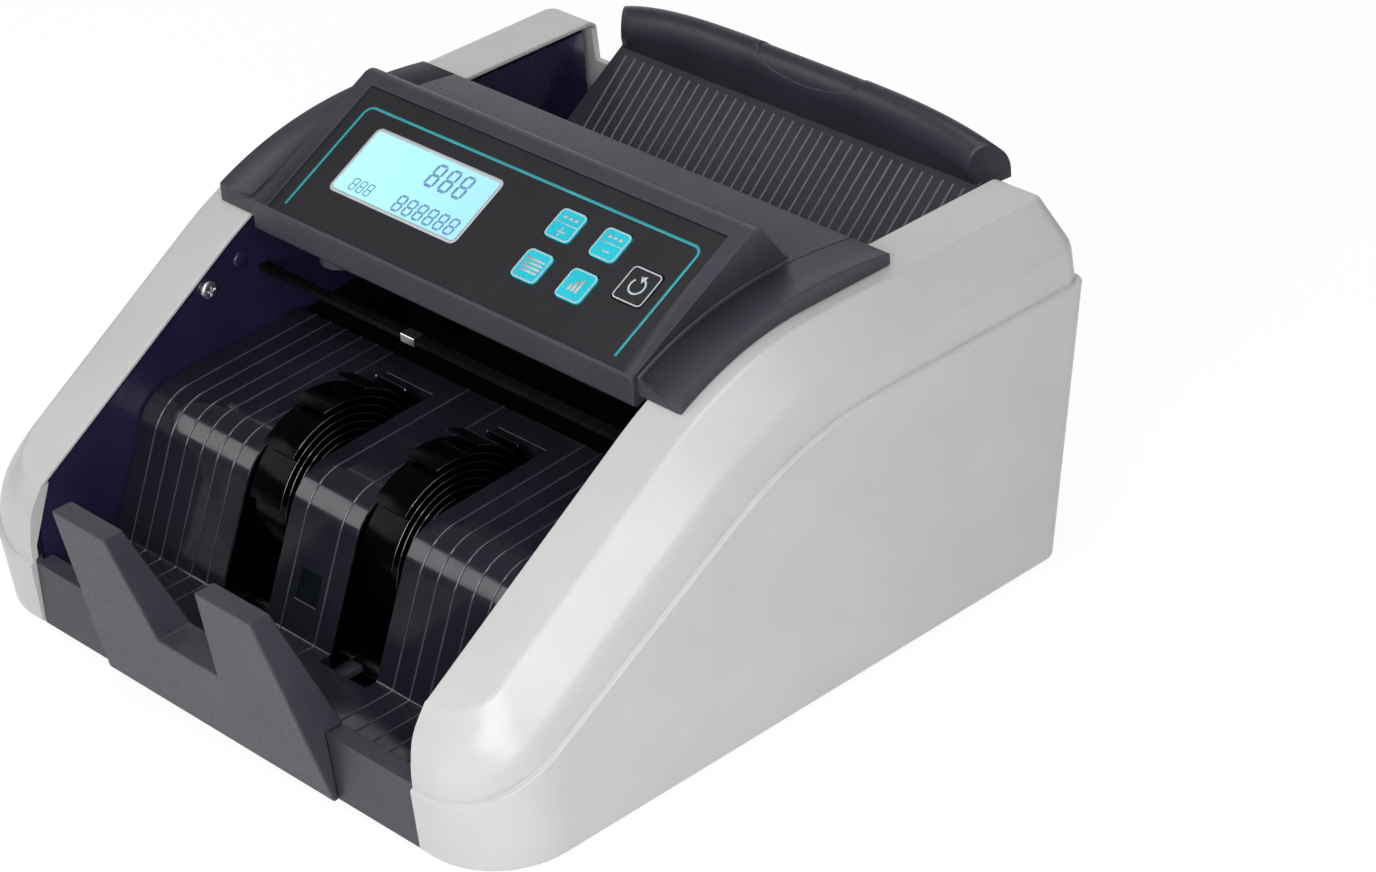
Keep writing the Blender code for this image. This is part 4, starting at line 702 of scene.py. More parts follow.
def side_path(half, front_y, rear_y, front_radius, rear_radius, inset=0.0):
    """Plan points from the channel's edge in front, round one side, to the channel's edge behind."""
    x = half - inset
    front = front_y + inset
    rear = rear_y - inset
    room = half - CHANNEL_HALF - GAP
    front_r = min(front_radius, room) - inset
    rear_r = min(rear_radius, room) - inset
    quarter = spread(math.pi / 2, CORNER_STEPS)
    points = [(CHANNEL_HALF, front)]
    points += [(x - front_r * (1 - math.sin(a)), front + front_r * (1 - math.cos(a))) for a in quarter]
    span = rear - rear_r - front - front_r
    points += [(x, front + front_r + span * i / SIDE_STEPS) for i in range(1, SIDE_STEPS)]
    points += [(x - rear_r * (1 - math.cos(a)), rear - rear_r * (1 - math.sin(a))) for a in quarter]
    points.append((CHANNEL_HALF, rear))
    return points


def cover_line(half, front_y, draft, front_radius, height, inset):
    """One long line of a cover, as points: its plan path at a height that follows Y."""
    path = side_path(half, front_y, COVER_REAR_Y + draft, front_radius, COVER_REAR_RADIUS, inset)
    return [Vector((x, y, height(y) - inset)) for x, y in path]


def side_cover(name, side, finish):
    """One white cover: a wall swept round the side, with softly rounded creases."""
    def lines(inset):
        return (cover_line(BAND_HALF, NOSE_DEPTH, 0, BAND_FRONT_RADIUS, band_z, inset),
                cover_line(CREASE_HALF, -COVER_DRAFT, COVER_DRAFT, CREASE_FRONT_RADIUS, crease_z, inset))

    band, crease = lines(0)
    inner_band, inner_crease = lines(COVER_WALL)
    draft = 2 * COVER_DRAFT
    low = (SEAM_HALF - LEDGE, -draft + LEDGE, draft - LEDGE, SEAM_FRONT_RADIUS)
    seam = cover_line(*low, lambda y: seam_z(y) - GAP - MERGE, 0)
    hem = cover_line(*low, lambda y: seam_z(y) + COVER_WALL - GAP, COVER_WALL)
    rings = []
    for i, (at_band, at_crease) in enumerate(zip(band, crease)):
        edge_y = min(max(at_band.y, NOSE_DEPTH), COVER_REAR_Y - GAP)
        edge = Vector((CHANNEL_HALF, edge_y, band_z(edge_y)))
        lip = edge - Vector((0, 0, LIP_HEIGHT))
        turn = min(1.0, max(0, i - 1) / CORNER_STEPS) * math.pi / 2
        bulge = Vector((math.sin(turn), -math.cos(turn), 0.5)) * TONGUE_BULGE * math.cos(turn)
        cheek = (at_band + at_crease) / 2 + bulge
        outside = [lip, edge, at_band, cheek, at_crease, seam[i], hem[i]]
        ring = eased(outside, COVER_EASES) + [inner_crease[i], inner_band[i]]
        rings.append([(side * x, y, z) for x, y, z in ring])
    shell = skin(rings)
    shell.set_sharp_from_angle(angle=SHARP_ANGLE)
    mesh = shaped(shell)
    piece(name + "_shell", mesh, finish, stands_for=(name,))


def rear_place(x, z):
    """Axes on the outside of the leaning rear wall: local +Y points out of the machine."""
    y = TUB_FOOT_REAR_Y + (z - FOOT_HEIGHT) * math.tan(REAR_WALL_LEAN)
    return Matrix.Translation((x, y, z)) @ Matrix.Rotation(-REAR_WALL_LEAN, 4, "X")


def base_tub(finish):
    """The white lower shell, with a rounded lip at the seam and openings in its rear wall."""
    def lines(inset):
        top = side_path(HALF_WIDTH, TUB_FRONT_Y, TUB_REAR_Y, SEAM_FRONT_RADIUS, TUB_REAR_RADIUS, inset)
        foot = side_path(TUB_FOOT_HALF, TUB_FOOT_FRONT_Y, TUB_FOOT_REAR_Y, SEAM_FRONT_RADIUS,
                         TUB_REAR_RADIUS, inset)
        return ([Vector((x, y, seam_z(y) - GAP)) for x, y in top],
                [Vector((x, y, FOOT_HEIGHT)) for x, y in foot])

    top, foot = lines(0)
    inner_top, inner_foot = lines(COVER_WALL)
    right = [eased(corners, TUB_EASES) for corners in zip(inner_top, top, foot, inner_foot)]
    left = [[(-x, y, z) for x, y, z in ring] for ring in reversed(right)]
    shell = skin(right + left)
    shell.set_sharp_from_angle(angle=SHARP_ANGLE)
    mesh = shaped(shell, *[("CUT", hole) for hole in rear_holes()])
    piece("base_tub_shell", mesh, finish, stands_for=("base_tub",))


def rear_holes():
    """Cutters for the inlet, the rocker and the knob's stem."""
    reach = 2 * COVER_WALL
    holes = []
    for x, (half_x, half_z), play in ((INLET_X, INLET_HALF, GAP), (SWITCH_X, SWITCH_HALF, SWITCH_PLAY)):
        hole = box((-half_x - play, -reach, -half_z - play), (half_x + play, reach, half_z + play))
        hole.transform(rear_place(x, INLET_Z))
        holes.append(hole)
    stem = skin([[(x, y, z) for x, z in circle(KNOB_STEM + GAP)] for y in (-reach, reach)])
    stem.transform(rear_place(0, KNOB_Z))
    return holes + [stem]


def guide_line(steps=NOSE_STEPS):
    """Side line of the guides from the sill back: floor, steep face, nose and nearly level top."""
    corners = [
        (TRAY_FRONT_Y, TRAY_FLOOR_Z, 0),
        (FACE_FOOT_Y, TRAY_FLOOR_Z, FACE_FOOT_RADIUS),
        (NOSE_Y, NOSE_Z, NOSE_RADIUS),
        (TRAY_REAR_Y, GUIDE_REAR_Z, 0),
    ]
    return rounded(corners, steps)


def stacker_tray(finish):
    """The glossy tray: three guides with softened edges between two open slots."""
    outline = guide_line() + [(TRAY_REAR_Y, TRAY_LOW.z), (TRAY_FRONT_Y, TRAY_LOW.z)]
    steps = []
    for side in (-1, 1):
        x0, x1 = sorted((side * CENTRE_GUIDE_HALF, side * SIDE_GUIDE_HALF))
        steps.append(("CUT", box((x0, SLOT_FRONT_Y, 0), (x1, SLOT_REAR_Y, 2 * GUIDE_REAR_Z))))
    steps.append(("CUT", box((-SENSOR_HALF, 0, SENSOR_LOW_Z), (SENSOR_HALF, NOSE_Y, SENSOR_HIGH_Z))))
    shaft = [(WHEEL_Y + y, WHEEL_Z + z) for y, z in circle(WHEEL_BORE + GAP)]
    steps.append(("CUT", prism(shaft, -HALF_WIDTH, HALF_WIDTH)))
    steps.append(edge_round(TRAY_EDGE, 3, 40))
    mesh = shaped(prism(outline, -TRAY_HALF, TRAY_HALF), *steps)
    piece("stacker_tray_shell", mesh, finish, stands_for=("stacker_tray",))


def painted_slot_shade(finish):
    """Black sheets on both walls of each slot, set in from the guides' rounded edges: painted shade on the
    slots' walls.
    """
    line = [(y + WELL_INSET, z - WELL_INSET) for y, z in guide_line()
            if SLOT_FRONT_Y < y < SLOT_REAR_Y - WELL_INSET]
    outline = line + [(line[-1][0], TRAY_LOW.z + WELL_INSET), (line[0][0], TRAY_LOW.z + WELL_INSET)]
    shade_sheets = []
    for wall, inward in ((CENTRE_GUIDE_HALF, 1), (SIDE_GUIDE_HALF, -1)):
        for side in (-1, 1):
            x0, x1 = sorted((side * (wall - inward * WELL_INSET), side * (wall + inward * WELL_THICK)))
            shade_sheets.append(shaped(prism(outline, x0, x1)))
    piece("painted_slot_shade", joined(shade_sheets), finish)


def geometry_tree(name, sockets):
    """An empty geometry tree with named inputs for its sizes."""
    tree = bpy.data.node_groups.new(name, "GeometryNodeTree")
    tree.interface.new_socket("Geometry", in_out="INPUT", socket_type="NodeSocketGeometry")
    for label, kind in sockets:
        tree.interface.new_socket(label, in_out="INPUT", socket_type="NodeSocket" + kind)
    tree.interface.new_socket("Geometry", in_out="OUTPUT", socket_type="NodeSocketGeometry")
    return tree


def grown(mesh, tree, sizes):
    """The plain smooth mesh that a geometry tree makes from a mesh and its sizes."""
    worker = linked("worker", mesh)
    modifier = worker.modifiers.new(tree.name, "NODES")
    modifier.node_group = tree
    for item in tree.interface.items_tree:
        if item.in_out == "INPUT" and item.name in sizes:
            modifier[item.identifier] = sizes[item.name]
    graph = bpy.context.evaluated_depsgraph_get()
    result = bpy.data.meshes.new_from_object(worker.evaluated_get(graph), depsgraph=graph)
    worker.modifiers.remove(modifier)
    bpy.data.objects.remove(worker)
    result.shade_smooth()
    return result


def finished(tree, geometry, material):
    """Ends a geometry tree: real geometry with its material on it."""
    real = add(tree, "GeometryNodeRealizeInstances", {"Geometry": geometry})
    made = add(tree, "GeometryNodeSetMaterial", {"Geometry": real, "Material": material})
    add(tree, "NodeGroupOutput", {"Geometry": made})
    return tree


def rib_tree():
    """Round ribs along the mesh's line, repeated across X at an even pitch."""
    tree = geometry_tree("row_of_ribs", [
        ("Count", "Int"), ("Pitch", "Float"), ("Radius", "Float"), ("Finish", "Material")])
    given = add(tree, "NodeGroupInput").outputs
    line = add(tree, "GeometryNodeMeshToCurve", {"Mesh": given["Geometry"]})
    section = add(tree, "GeometryNodeCurvePrimitiveCircle", {
        "Resolution": ROUND_SIDES, "Radius": given["Radius"]})
    rib = add(tree, "GeometryNodeCurveToMesh", {"Curve": line, "Profile Curve": section, "Fill Caps": True})
    step = add(tree, "ShaderNodeCombineXYZ", {"X": given["Pitch"]})
    row = add(tree, "GeometryNodeMeshLine", {"Count": given["Count"], "Offset": step})
    ribs = add(tree, "GeometryNodeInstanceOnPoints", {"Points": row, "Instance": rib})
    return finished(tree, ribs, given["Finish"])


def line_mesh(points):
    """A mesh of bare edges through points."""
    mesh = bpy.data.meshes.new("line")
    mesh.from_pydata(points, [(i, i + 1) for i in range(len(points) - 1)], [])
    return mesh


def guide_ribs(tree, finish):
    """The thin ribs that run along the floor, up the face and over the nose of each guide."""
    line = guide_line()
    rows = (
        ("left_guide_ribs", -GUIDE_RIB_FIRST - (GUIDE_RIB_COUNT - 1) * GUIDE_RIB_PITCH, GUIDE_RIB_COUNT,
         GUIDE_RIB_PITCH),
        ("centre_guide_ribs", -CENTRE_RIB_X, 2, 2 * CENTRE_RIB_X),
        ("right_guide_ribs", GUIDE_RIB_FIRST, GUIDE_RIB_COUNT, GUIDE_RIB_PITCH),
    )
    for name, x, count, pitch in rows:
        sizes = {"Count": count, "Pitch": pitch, "Radius": GUIDE_RIB_RADIUS, "Finish": finish}
        mesh = grown(line_mesh([(x, y, z) for y, z in line]), tree, sizes)
        piece(name, mesh, finish)


def curled_fins(tree, given, section):
    """Draws a section along a spiral from hub to rim and repeats it round Z."""
    turns = add(tree, "ShaderNodeMath", {0: given["Sweep"], 1: 2 * math.pi}, operation="DIVIDE")
    curl = add(tree, "GeometryNodeCurveSpiral", {
        "Resolution": FIN_STEPS, "Rotations": turns, "Start Radius": given["Hub"],
        "End Radius": given["Radius"], "Height": 0.0, "Reverse": True})
    upright = add(tree, "GeometryNodeSetCurveNormal", {"Curve": curl}, mode="Z_UP")
    fin = add(tree, "GeometryNodeCurveToMesh", {
        "Curve": upright, "Profile Curve": section, "Fill Caps": True})
    row = add(tree, "GeometryNodeMeshLine", {"Count": given["Fins"], "Offset": (0, 0, 0)})
    share = add(tree, "ShaderNodeMath", {0: 2 * math.pi, 1: given["Fins"]}, operation="DIVIDE")
    index = add(tree, "GeometryNodeInputIndex")
    angle = add(tree, "ShaderNodeMath", {0: index, 1: share}, operation="MULTIPLY")
    spin = add(tree, "ShaderNodeCombineXYZ", {"Z": angle})
    return add(tree, "GeometryNodeInstanceOnPoints", {"Points": row, "Instance": fin, "Rotation": spin})


def fin_wheel_tree():
    """A wheel about Z: thin fins that curl out from a bored hub."""
    tree = geometry_tree("curled_fin_wheel", [
        ("Fins", "Int"), ("Sweep", "Float"), ("Hub", "Float"), ("Bore", "Float"), ("Radius", "Float"),
        ("Thickness", "Float"), ("Width", "Float"), ("Finish", "Material")])
    given = add(tree, "NodeGroupInput").outputs
    section = add(tree, "GeometryNodeCurvePrimitiveQuadrilateral", {
        "Width": given["Thickness"], "Height": given["Width"]})
    fins = curled_fins(tree, given, section)
    both = add(tree, "ShaderNodeMath", {0: given["Hub"], 1: given["Bore"]}, operation="ADD")
    middle = add(tree, "ShaderNodeMath", {0: both, 1: 2.0}, operation="DIVIDE")
    wall = add(tree, "ShaderNodeMath", {0: given["Hub"], 1: given["Bore"]}, operation="SUBTRACT")
    ring = add(tree, "GeometryNodeCurvePrimitiveCircle", {"Resolution": HUB_STEPS, "Radius": middle})
    rim = add(tree, "GeometryNodeCurvePrimitiveQuadrilateral", {"Width": wall, "Height": given["Width"]})
    hub = add(tree, "GeometryNodeCurveToMesh", {"Curve": ring, "Profile Curve": rim})
    whole = add(tree, "GeometryNodeJoinGeometry", {"Geometry": hub})
    feed(tree, whole, {"Geometry": fins})
    return finished(tree, whole, given["Finish"])


def fin_bead_tree():
    """Round beads that follow the fins' spirals, for their moulded edges."""
    tree = geometry_tree("curled_fin_beads", [
        ("Fins", "Int"), ("Sweep", "Float"), ("Hub", "Float"), ("Radius", "Float"), ("Bead", "Float"),
        ("Finish", "Material")])
    given = add(tree, "NodeGroupInput").outputs
    section = add(tree, "GeometryNodeCurvePrimitiveCircle", {
        "Resolution": ROUND_SIDES, "Radius": given["Bead"]})
    return finished(tree, curled_fins(tree, given, section), given["Finish"])


def impellers(face, edge):
    """Both finned wheels, turned from their own Z onto the shaft's X, with beads along the fins' edges."""
    wheel_tree = fin_wheel_tree()
    bead_tree = fin_bead_tree()
    spiral = {"Fins": FIN_COUNT, "Sweep": FIN_SWEEP, "Hub": WHEEL_HUB}
    sizes = {**spiral, "Bore": WHEEL_BORE, "Radius": WHEEL_RADIUS, "Thickness": FIN_THICK,
             "Width": WHEEL_WIDTH - 2 * FIN_BEAD, "Finish": face}
    beading = {**spiral, "Radius": WHEEL_RADIUS - FIN_BEAD, "Bead": FIN_BEAD, "Finish": edge}
    onto_shaft = Matrix(((0, 0, 1, 0), (1, 0, 0, 0), (0, 1, 0, 0), (0, 0, 0, 1)))
    middle = (WHEEL_LOW.x + WHEEL_HIGH.x) / 2
    reach = WHEEL_WIDTH / 2 - FIN_BEAD
    for name, x in (("left_impeller", -middle), ("right_impeller", middle)):
        at = Matrix.Translation((x, FRONT_Y + WHEEL_Y, WHEEL_Z)) @ onto_shaft
        wheel = shaped(grown(bpy.data.meshes.new("axis"), wheel_tree, sizes))
        piece(name + "_fins", wheel, face, "impeller_train", at, (name,))
        beads = []
        for offset in (-reach, reach):
            ring = grown(bpy.data.meshes.new("axis"), bead_tree, beading)
            ring.transform(Matrix.Translation((0, 0, offset)))
            beads.append(ring)
        piece(name + "_fin_edges", joined(beads), edge, "impeller_train", at)


def flange_top(t):
    """A point (y, z) of the bridge's arched top line, from its front edge to the deck's rear."""
    front = Vector((FLANGE_FRONT_Y, band_z(FLANGE_FRONT_Y) + FLANGE_FRONT_THICK))
    crown = Vector((FLANGE_CROWN_Y, FLANGE_CROWN_Z))
    rear = Vector((DECK_REAR_Y, DECK_Z))
    return front * (1 - t) ** 2 + crown * 2 * t * (1 - t) + rear * t ** 2


def bridge_frame(finish):
    """Two arched flanges on the covers' bands and the deck between them, grooved at each end of the deck."""
    reach = DECK_REAR_Y - FLANGE_FRONT_Y
    shares = spread(1, FLANGE_STEPS)
    under = [(FLANGE_FRONT_Y + reach * t, band_z(FLANGE_FRONT_Y + reach * t) + GAP) for t in shares]
    over = [flange_top(t) for t in shares]
    outline = under + [(p.x, p.y) for p in reversed(over)]
    opening = HOUSING_HALF + GAP
    steps = [("CUT", box((-opening, 0, 0), (opening, HOUSING_REAR_Y + GAP, 2 * DECK_Z))),
             edge_round(BRIDGE_EDGE, 4, 35)]
    groove = [(p.x, p.y - GROOVE_DEPTH) for p in over] + [(p.x, p.y + BRIDGE_EDGE) for p in reversed(over)]
    groove = [(y + GAP if y > DECK_REAR_Y - GAP else y, z) for y, z in groove]
    for side in (-1, 1):
        x = side * GROOVE_X
        steps.append(("CUT", prism(groove, x - GROOVE_WIDTH / 2, x + GROOVE_WIDTH / 2)))
    mesh = shaped(prism(outline, -FLANGE_HALF, FLANGE_HALF), *steps)
    piece("bridge_frame_shell", mesh, finish, stands_for=("bridge_frame",))


def panel_line_z(y, above):
    """Height of the panel's plane at a place along Y, or of a plane that far above it."""
    return PANEL_Z + (y - PANEL_Y) * math.tan(PANEL_TILT) + above / math.cos(PANEL_TILT)


def panel_housing(finish):
    """The wedge with its rounded ridge and the shallow pocket that the membrane lies in."""
    wedge = rounded([
        (HOUSING_FRONT_Y, HOUSING_LIP_Z, LIP_RADIUS),
        (HOUSING_REAR_Y, HOUSING_SKIRT_Z, 0),
        (HOUSING_REAR_Y, HOUSING_REAR_Z, 0),
        (RIDGE_Y, panel_line_z(RIDGE_Y, BEZEL_HEIGHT), RIDGE_RADIUS),
        (HOUSING_FRONT_Y, panel_line_z(HOUSING_FRONT_Y, BEZEL_HEIGHT), LIP_RADIUS),
    ])
    half = OVERLAY_HALF + GAP
    pocket = box((-half, OVERLAY_BOTTOM - GAP, LCD_BACK), (half, OVERLAY_TOP + GAP, RIDGE_RADIUS))
    pocket.transform(MACHINE.inverted() @ PANEL)
    mesh = shaped(prism(wedge, -HOUSING_HALF, HOUSING_HALF), ("CUT", pocket), edge_round(HOUSING_EDGE, 3, 35))
    piece("panel_housing_shell", mesh, finish, stands_for=("panel_housing",))


def housing_boss(finish):
    """The round boss that hangs under the housing's front lip, at the left."""
    radius, rear, foot = BOSS_SIZE
    half_disc = [(BOSS_X - radius * math.cos(a), BOSS_FRONT_Y + rear - rear * math.sin(a))
                 for a in spread(math.pi, CORNER_STEPS)]
    mesh = shaped(slab(half_disc, BOSS_TOP_Z - foot, BOSS_TOP_Z), edge_round(BOSS_EDGE, 3, 40))
    piece("housing_boss", mesh, finish)


def border_line(finish):
    """The teal line round the top and both sides of the membrane."""
    path = rounded([(-BORDER_HALF, BORDER_BOTTOM, 0), (-BORDER_HALF, 0, BORDER_CORNER),
                    (BORDER_HALF, 0, BORDER_CORNER), (BORDER_HALF, BORDER_BOTTOM, 0)])
    mesh = ribbon(path, BORDER_WIDTH, INK_ROOT, INK, False)
    piece("panel_border", mesh, finish, at=PANEL)


def seven_segments(x, y, width, height, stroke):
    """The seven bars of one digit, as pointed outlines, from its lower left corner."""
    half = stroke / 2
    nip = stroke * DIGIT_NIP
    middle = height / 2
    bars = [((half, z), (width - half, z)) for z in (half, middle, height - half)]
    for u in (half, width - half):
        bars += [((u, half), (u, middle)), ((u, middle), (u, height - half))]
    outlines = []
    for start, end in bars:
        a, b = Vector(start), Vector(end)
        along = (b - a).normalized()
        across = Vector((-along.y, along.x)) * half
        a = a + along * nip
        b = b - along * nip
        point = along * half
        hexagon = [a, a + point - across, b - point - across, b, b - point + across, a + point + across]
        outlines.append([(x + p.x + DIGIT_SLANT * p.y, y + p.y) for p in hexagon])
    return outlines


def display(finish, ink, outline_ink):
    """The display: its block behind the membrane, its window with digits, and the outline round it."""
    window = rounded_rect(LCD_LEFT + GAP, LCD_BOTTOM + GAP, LCD_RIGHT - GAP, LCD_TOP - GAP, LCD_CORNER)
    block = box((LCD_LEFT - LCD_RIM, LCD_BOTTOM - LCD_RIM, LCD_BACK),
                (LCD_RIGHT + LCD_RIM, LCD_TOP + LCD_RIM, -OVERLAY_THICK - GAP))
    mesh = shaped(block, ("JOIN", slab(window, -OVERLAY_THICK - LCD_RIM, -LCD_SINK)),
                  edge_round(LCD_EDGE, 2))
    piece("lcd_window", mesh, finish, at=PANEL, stands_for=("lcd_module",))
    digits = []
    for left, base, count, pitch, width, height, stroke in DIGIT_ROWS:
        for i in range(count):
            digits += seven_segments(LCD_LEFT + left + i * pitch, LCD_TOP + base, width, height, stroke)
    plates = [slab(outline, -LCD_SINK + INK_ROOT, -LCD_SINK + INK) for outline in digits]
    piece("lcd_digits", joined(plates), ink, at=PANEL)
    edge = rounded_rect(LCD_LEFT, LCD_BOTTOM, LCD_RIGHT, LCD_TOP, LCD_CORNER)
    piece("lcd_outline", ribbon(edge, LCD_LINE, INK_ROOT, INK, True), outline_ink, at=PANEL)


def key_marks(name, x, y, half):
    """Plain signs for one key: outlines of its strokes, drawn round the key's centre."""
    if name == "batch":
        wide = 0.7 * half
        thick = 0.45 * MM
        levels = [y + v * MM for v in (-2.4, -0.8, 0.8, 2.4)]
        return [rect(x - wide, v - thick, x + wide, v + thick) for v in levels]
    if name == "add":
        foot = y - 2.6 * MM
        steps = ((-2.7, 0.2), (-0.9, 1.6), (0.9, 3.0))
        return [rect(x + u * MM, foot, x + (u + 1.3) * MM, y + top * MM) for u, top in steps]
    thin = 0.55 * MM
    sign = 2.1 * MM
    margin = 0.9 * MM
    dash = 0.9 * MM
    low = y - 0.46 * half
    marks = [rect(x - half + margin, y + 0.2 * MM, x + half - margin, y + 0.55 * MM),
             rect(x - sign, low - thin / 2, x + sign, low + thin / 2)]
    if name == "plus":
        marks += [rect(x - thin / 2, low + thin / 2, x + thin / 2, low + sign),
                  rect(x - thin / 2, low - sign, x + thin / 2, low - thin / 2)]
    centres = [x + u * MM for u in (-2.6, 0, 2.6)]
    return marks + [rect(u - dash, y + 2.3 * MM, u + dash, y + 3.4 * MM) for u in centres]


def restart_mark(x, y):
    """A round arrow: most of a circle and its head."""
    radius = 3.1 * MM
    width = 0.75 * MM
    head_half = 1.6 * MM
    head_length = 2.4 * MM
    start = math.radians(70)
    angles = [start - turn for turn in spread(math.radians(290), 36)]
    path = [(x + radius * math.cos(a), y + radius * math.sin(a)) for a in angles]
    tip = Vector((x + radius * math.cos(start), y + radius * math.sin(start)))
    along = Vector((-math.sin(start), math.cos(start)))
    out = Vector((math.cos(start), math.sin(start)))
    head = [tip + out * head_half, tip + along * head_length, tip - out * head_half]
    return path, width, [(p.x, p.y) for p in head]


def keys(finishes):
    """Five keys with soft edges, and the printed outline and plain sign on each."""
    low = KEY_RISE + INK_ROOT
    high = KEY_RISE + INK
    for name, (x, y, half) in KEYS.items():
        finish = finishes["black_film" if name == "restart" else "cyan"]
        softened(name + "_key", KEY_EDGE, finish, name)
        reach = half - KEY_LINE_INSET
        line = rounded_rect(x - reach, y - reach, x + reach, y + reach, KEY_CORNER - KEY_LINE_INSET)
        marks = [ribbon(line, KEY_LINE, low, high, True)]
        if name == "restart":
            path, width, head = restart_mark(x, y)
            marks += [ribbon(path, width, low, high, False), slab(head, low, high)]
        else:
            marks += [slab(outline, low, high) for outline in key_marks(name, x, y, half)]
        piece(name + "_key_print", joined(marks), finishes["pale"], name, PANEL)


def bowed_roll(top, run, down, inset):
    """The hopper's roll: a domed section, higher in the middle and wider behind, moved in by an inset."""
    foot = top + run * ROLL_FOOT
    lip = top + (down + run) * HOPPER_PLATE
    front = ROLL_FRONT_Y + inset
    rear = ROLL_REAR_Y - inset
    half = (rear - front) / 2
    turn = spread(math.pi, ROLL_STEPS)
    half_x = ROLL_HALF - inset
    rings = []
    for i in range(ROLL_STEPS + 1):
        share = 2 * i / ROLL_STEPS - 1
        crest = HOPPER_TOP_Z + ROLL_CREST_RISE - (ROLL_CREST_RISE - ROLL_END_RISE) * share ** 4 - inset
        dome = [(front + half - half * math.cos(a), crest - ROLL_DOME * (1 - math.sin(a))) for a in turn]
        section = [(foot.x + inset, foot.y), *dome, (rear, HOPPER_TOP_Z), (lip.x, lip.y)]
        rings.append([((half_x + ROLL_FLARE * (y - front - half) / half) * share, y, z) for y, z in section])
    return skin(rings)


def hopper(finish, rib_finish, tree):
    """The tilted note plate with its bowed roll, a shallow scoop in the roll, and a row of fine ribs."""
    run = Vector((-math.cos(HOPPER_TILT), -math.sin(HOPPER_TILT)))
    down = Vector((math.sin(HOPPER_TILT), -math.cos(HOPPER_TILT)))
    top = Vector((HOPPER_TOP_Y, HOPPER_TOP_Z))
    foot = top + run * HOPPER_LENGTH
    scoop_top = HOPPER_TOP_Z + ROLL_CREST_RISE + SCOOP_DEPTH
    scoop = [(SCOOP_X - SCOOP_HALF * math.cos(a), scoop_top - SCOOP_DROP * math.sin(a))
             for a in spread(math.pi, ROLL_STEPS)]
    scoop_cut = skin([[(x, y, z) for x, z in scoop] for y in (ROLL_FRONT_Y - GAP, ROLL_REAR_Y + GAP)])
    pickup_y = (PICKUP_LOW.y + PICKUP_HIGH.y) / 2 - FRONT_Y
    pickup_z = (PICKUP_LOW.z + PICKUP_HIGH.z) / 2
    pickup_radius = (PICKUP_HIGH.z - PICKUP_LOW.z) / 2 + PICKUP_PLAY
    opening = [(pickup_y + y, pickup_z + z) for y, z in circle(pickup_radius)]
    cuts = []
    for x0, x1 in ((PICKUP_LOW.x, PICKUP_HIGH.x), (-PICKUP_HIGH.x, -PICKUP_LOW.x)):
        cuts.append(("CUT", prism(opening, x0 - PICKUP_PLAY, x1 + PICKUP_PLAY)))
    core = bowed_roll(top, run, down, SCOOP_DEPTH)
    roll = shaped(bowed_roll(top, run, down, 0), ("CUT", scoop_cut), ("JOIN", core))
    ends = []
    for at, half in ((top, ROLL_HALF - ROLL_FLARE / 2), (foot, HOPPER_HALF)):
        under = at + down * HOPPER_PLATE
        ends.append([(-half, *at), (half, *at), (half, *under), (-half, *under)])
    sheet = shaped(skin(ends), *cuts, edge_round(HOPPER_EDGE, 3, 40))
    mesh = joined([sheet, roll])
    # The plate and roll take a finish painted darker, as shade behind the bridge
    piece("hopper_tray_shell", mesh, finish, stands_for=("hopper_tray",))
    first = -HOPPER_RIB_PITCH * (HOPPER_RIB_COUNT - 1) / 2
    line = [top + run * HOPPER_RIB_START, top + run * HOPPER_RIB_END]
    sizes = {"Count": HOPPER_RIB_COUNT, "Pitch": HOPPER_RIB_PITCH, "Radius": HOPPER_RIB_RADIUS,
             "Finish": rib_finish}
    ribs = grown(line_mesh([(first, p.x, p.y) for p in line]), tree, sizes)
    # The ribs' finish is painted lighter, as a highlight along their crests
    piece("hopper_ribs", ribs, rib_finish)


def note_chute(finish):
    """The dark plate under the notes' way from the feed rollers to the wheels, with a rolled front lip."""
    front = Vector((TRAY_REAR_Y + GAP, GUIDE_REAR_Z - CHUTE_STEP))
    rear = Vector((CHUTE_REAR_Y, CHUTE_REAR_Z))
    lip = front - Vector((0, CHUTE_LIP))
    outline = rounded([
        (rear.x, rear.y, 0),
        (front.x, front.y, CHUTE_BEND),
        (lip.x, lip.y, 0),
        (lip.x + CHUTE_THICK, lip.y, 0),
        (front.x + CHUTE_THICK, front.y - CHUTE_THICK, CHUTE_INNER_BEND),
        (rear.x, rear.y - CHUTE_THICK, 0),
    ])
    mesh = shaped(prism(outline, -CHUTE_HALF, CHUTE_HALF), edge_round(CHUTE_EDGE, 2, 40))
    piece("note_chute", mesh, finish, stands_for=("stacker_tray",))


def pan_screw(radius, height, shank_radius, shank_length):
    """A pan-head screw along Z with a cross recess: head above Z = 0, shank below."""
    profile = [(0, -shank_length), (shank_radius, -shank_length), (shank_radius, 0), (radius, 0),
               (radius, 0.45 * height), (0.88 * radius, 0.75 * height), (0.6 * radius, 0.94 * height),
               (0, height)]
    arm = 0.62 * radius
    half = 0.14 * radius
    cross = [(-arm, -half), (-half, -half), (-half, -arm), (half, -arm), (half, -half), (arm, -half),
             (arm, half), (half, half), (half, arm), (-half, arm), (-half, half), (-arm, half)]
    recess = slab(cross, 0.35 * height, 2 * height)
    screw = lathe(profile, SMALL_TURN_STEPS)
    return shaped(screw, ("CUT", recess), edge_round(SCREW_EDGE, 2, 40))


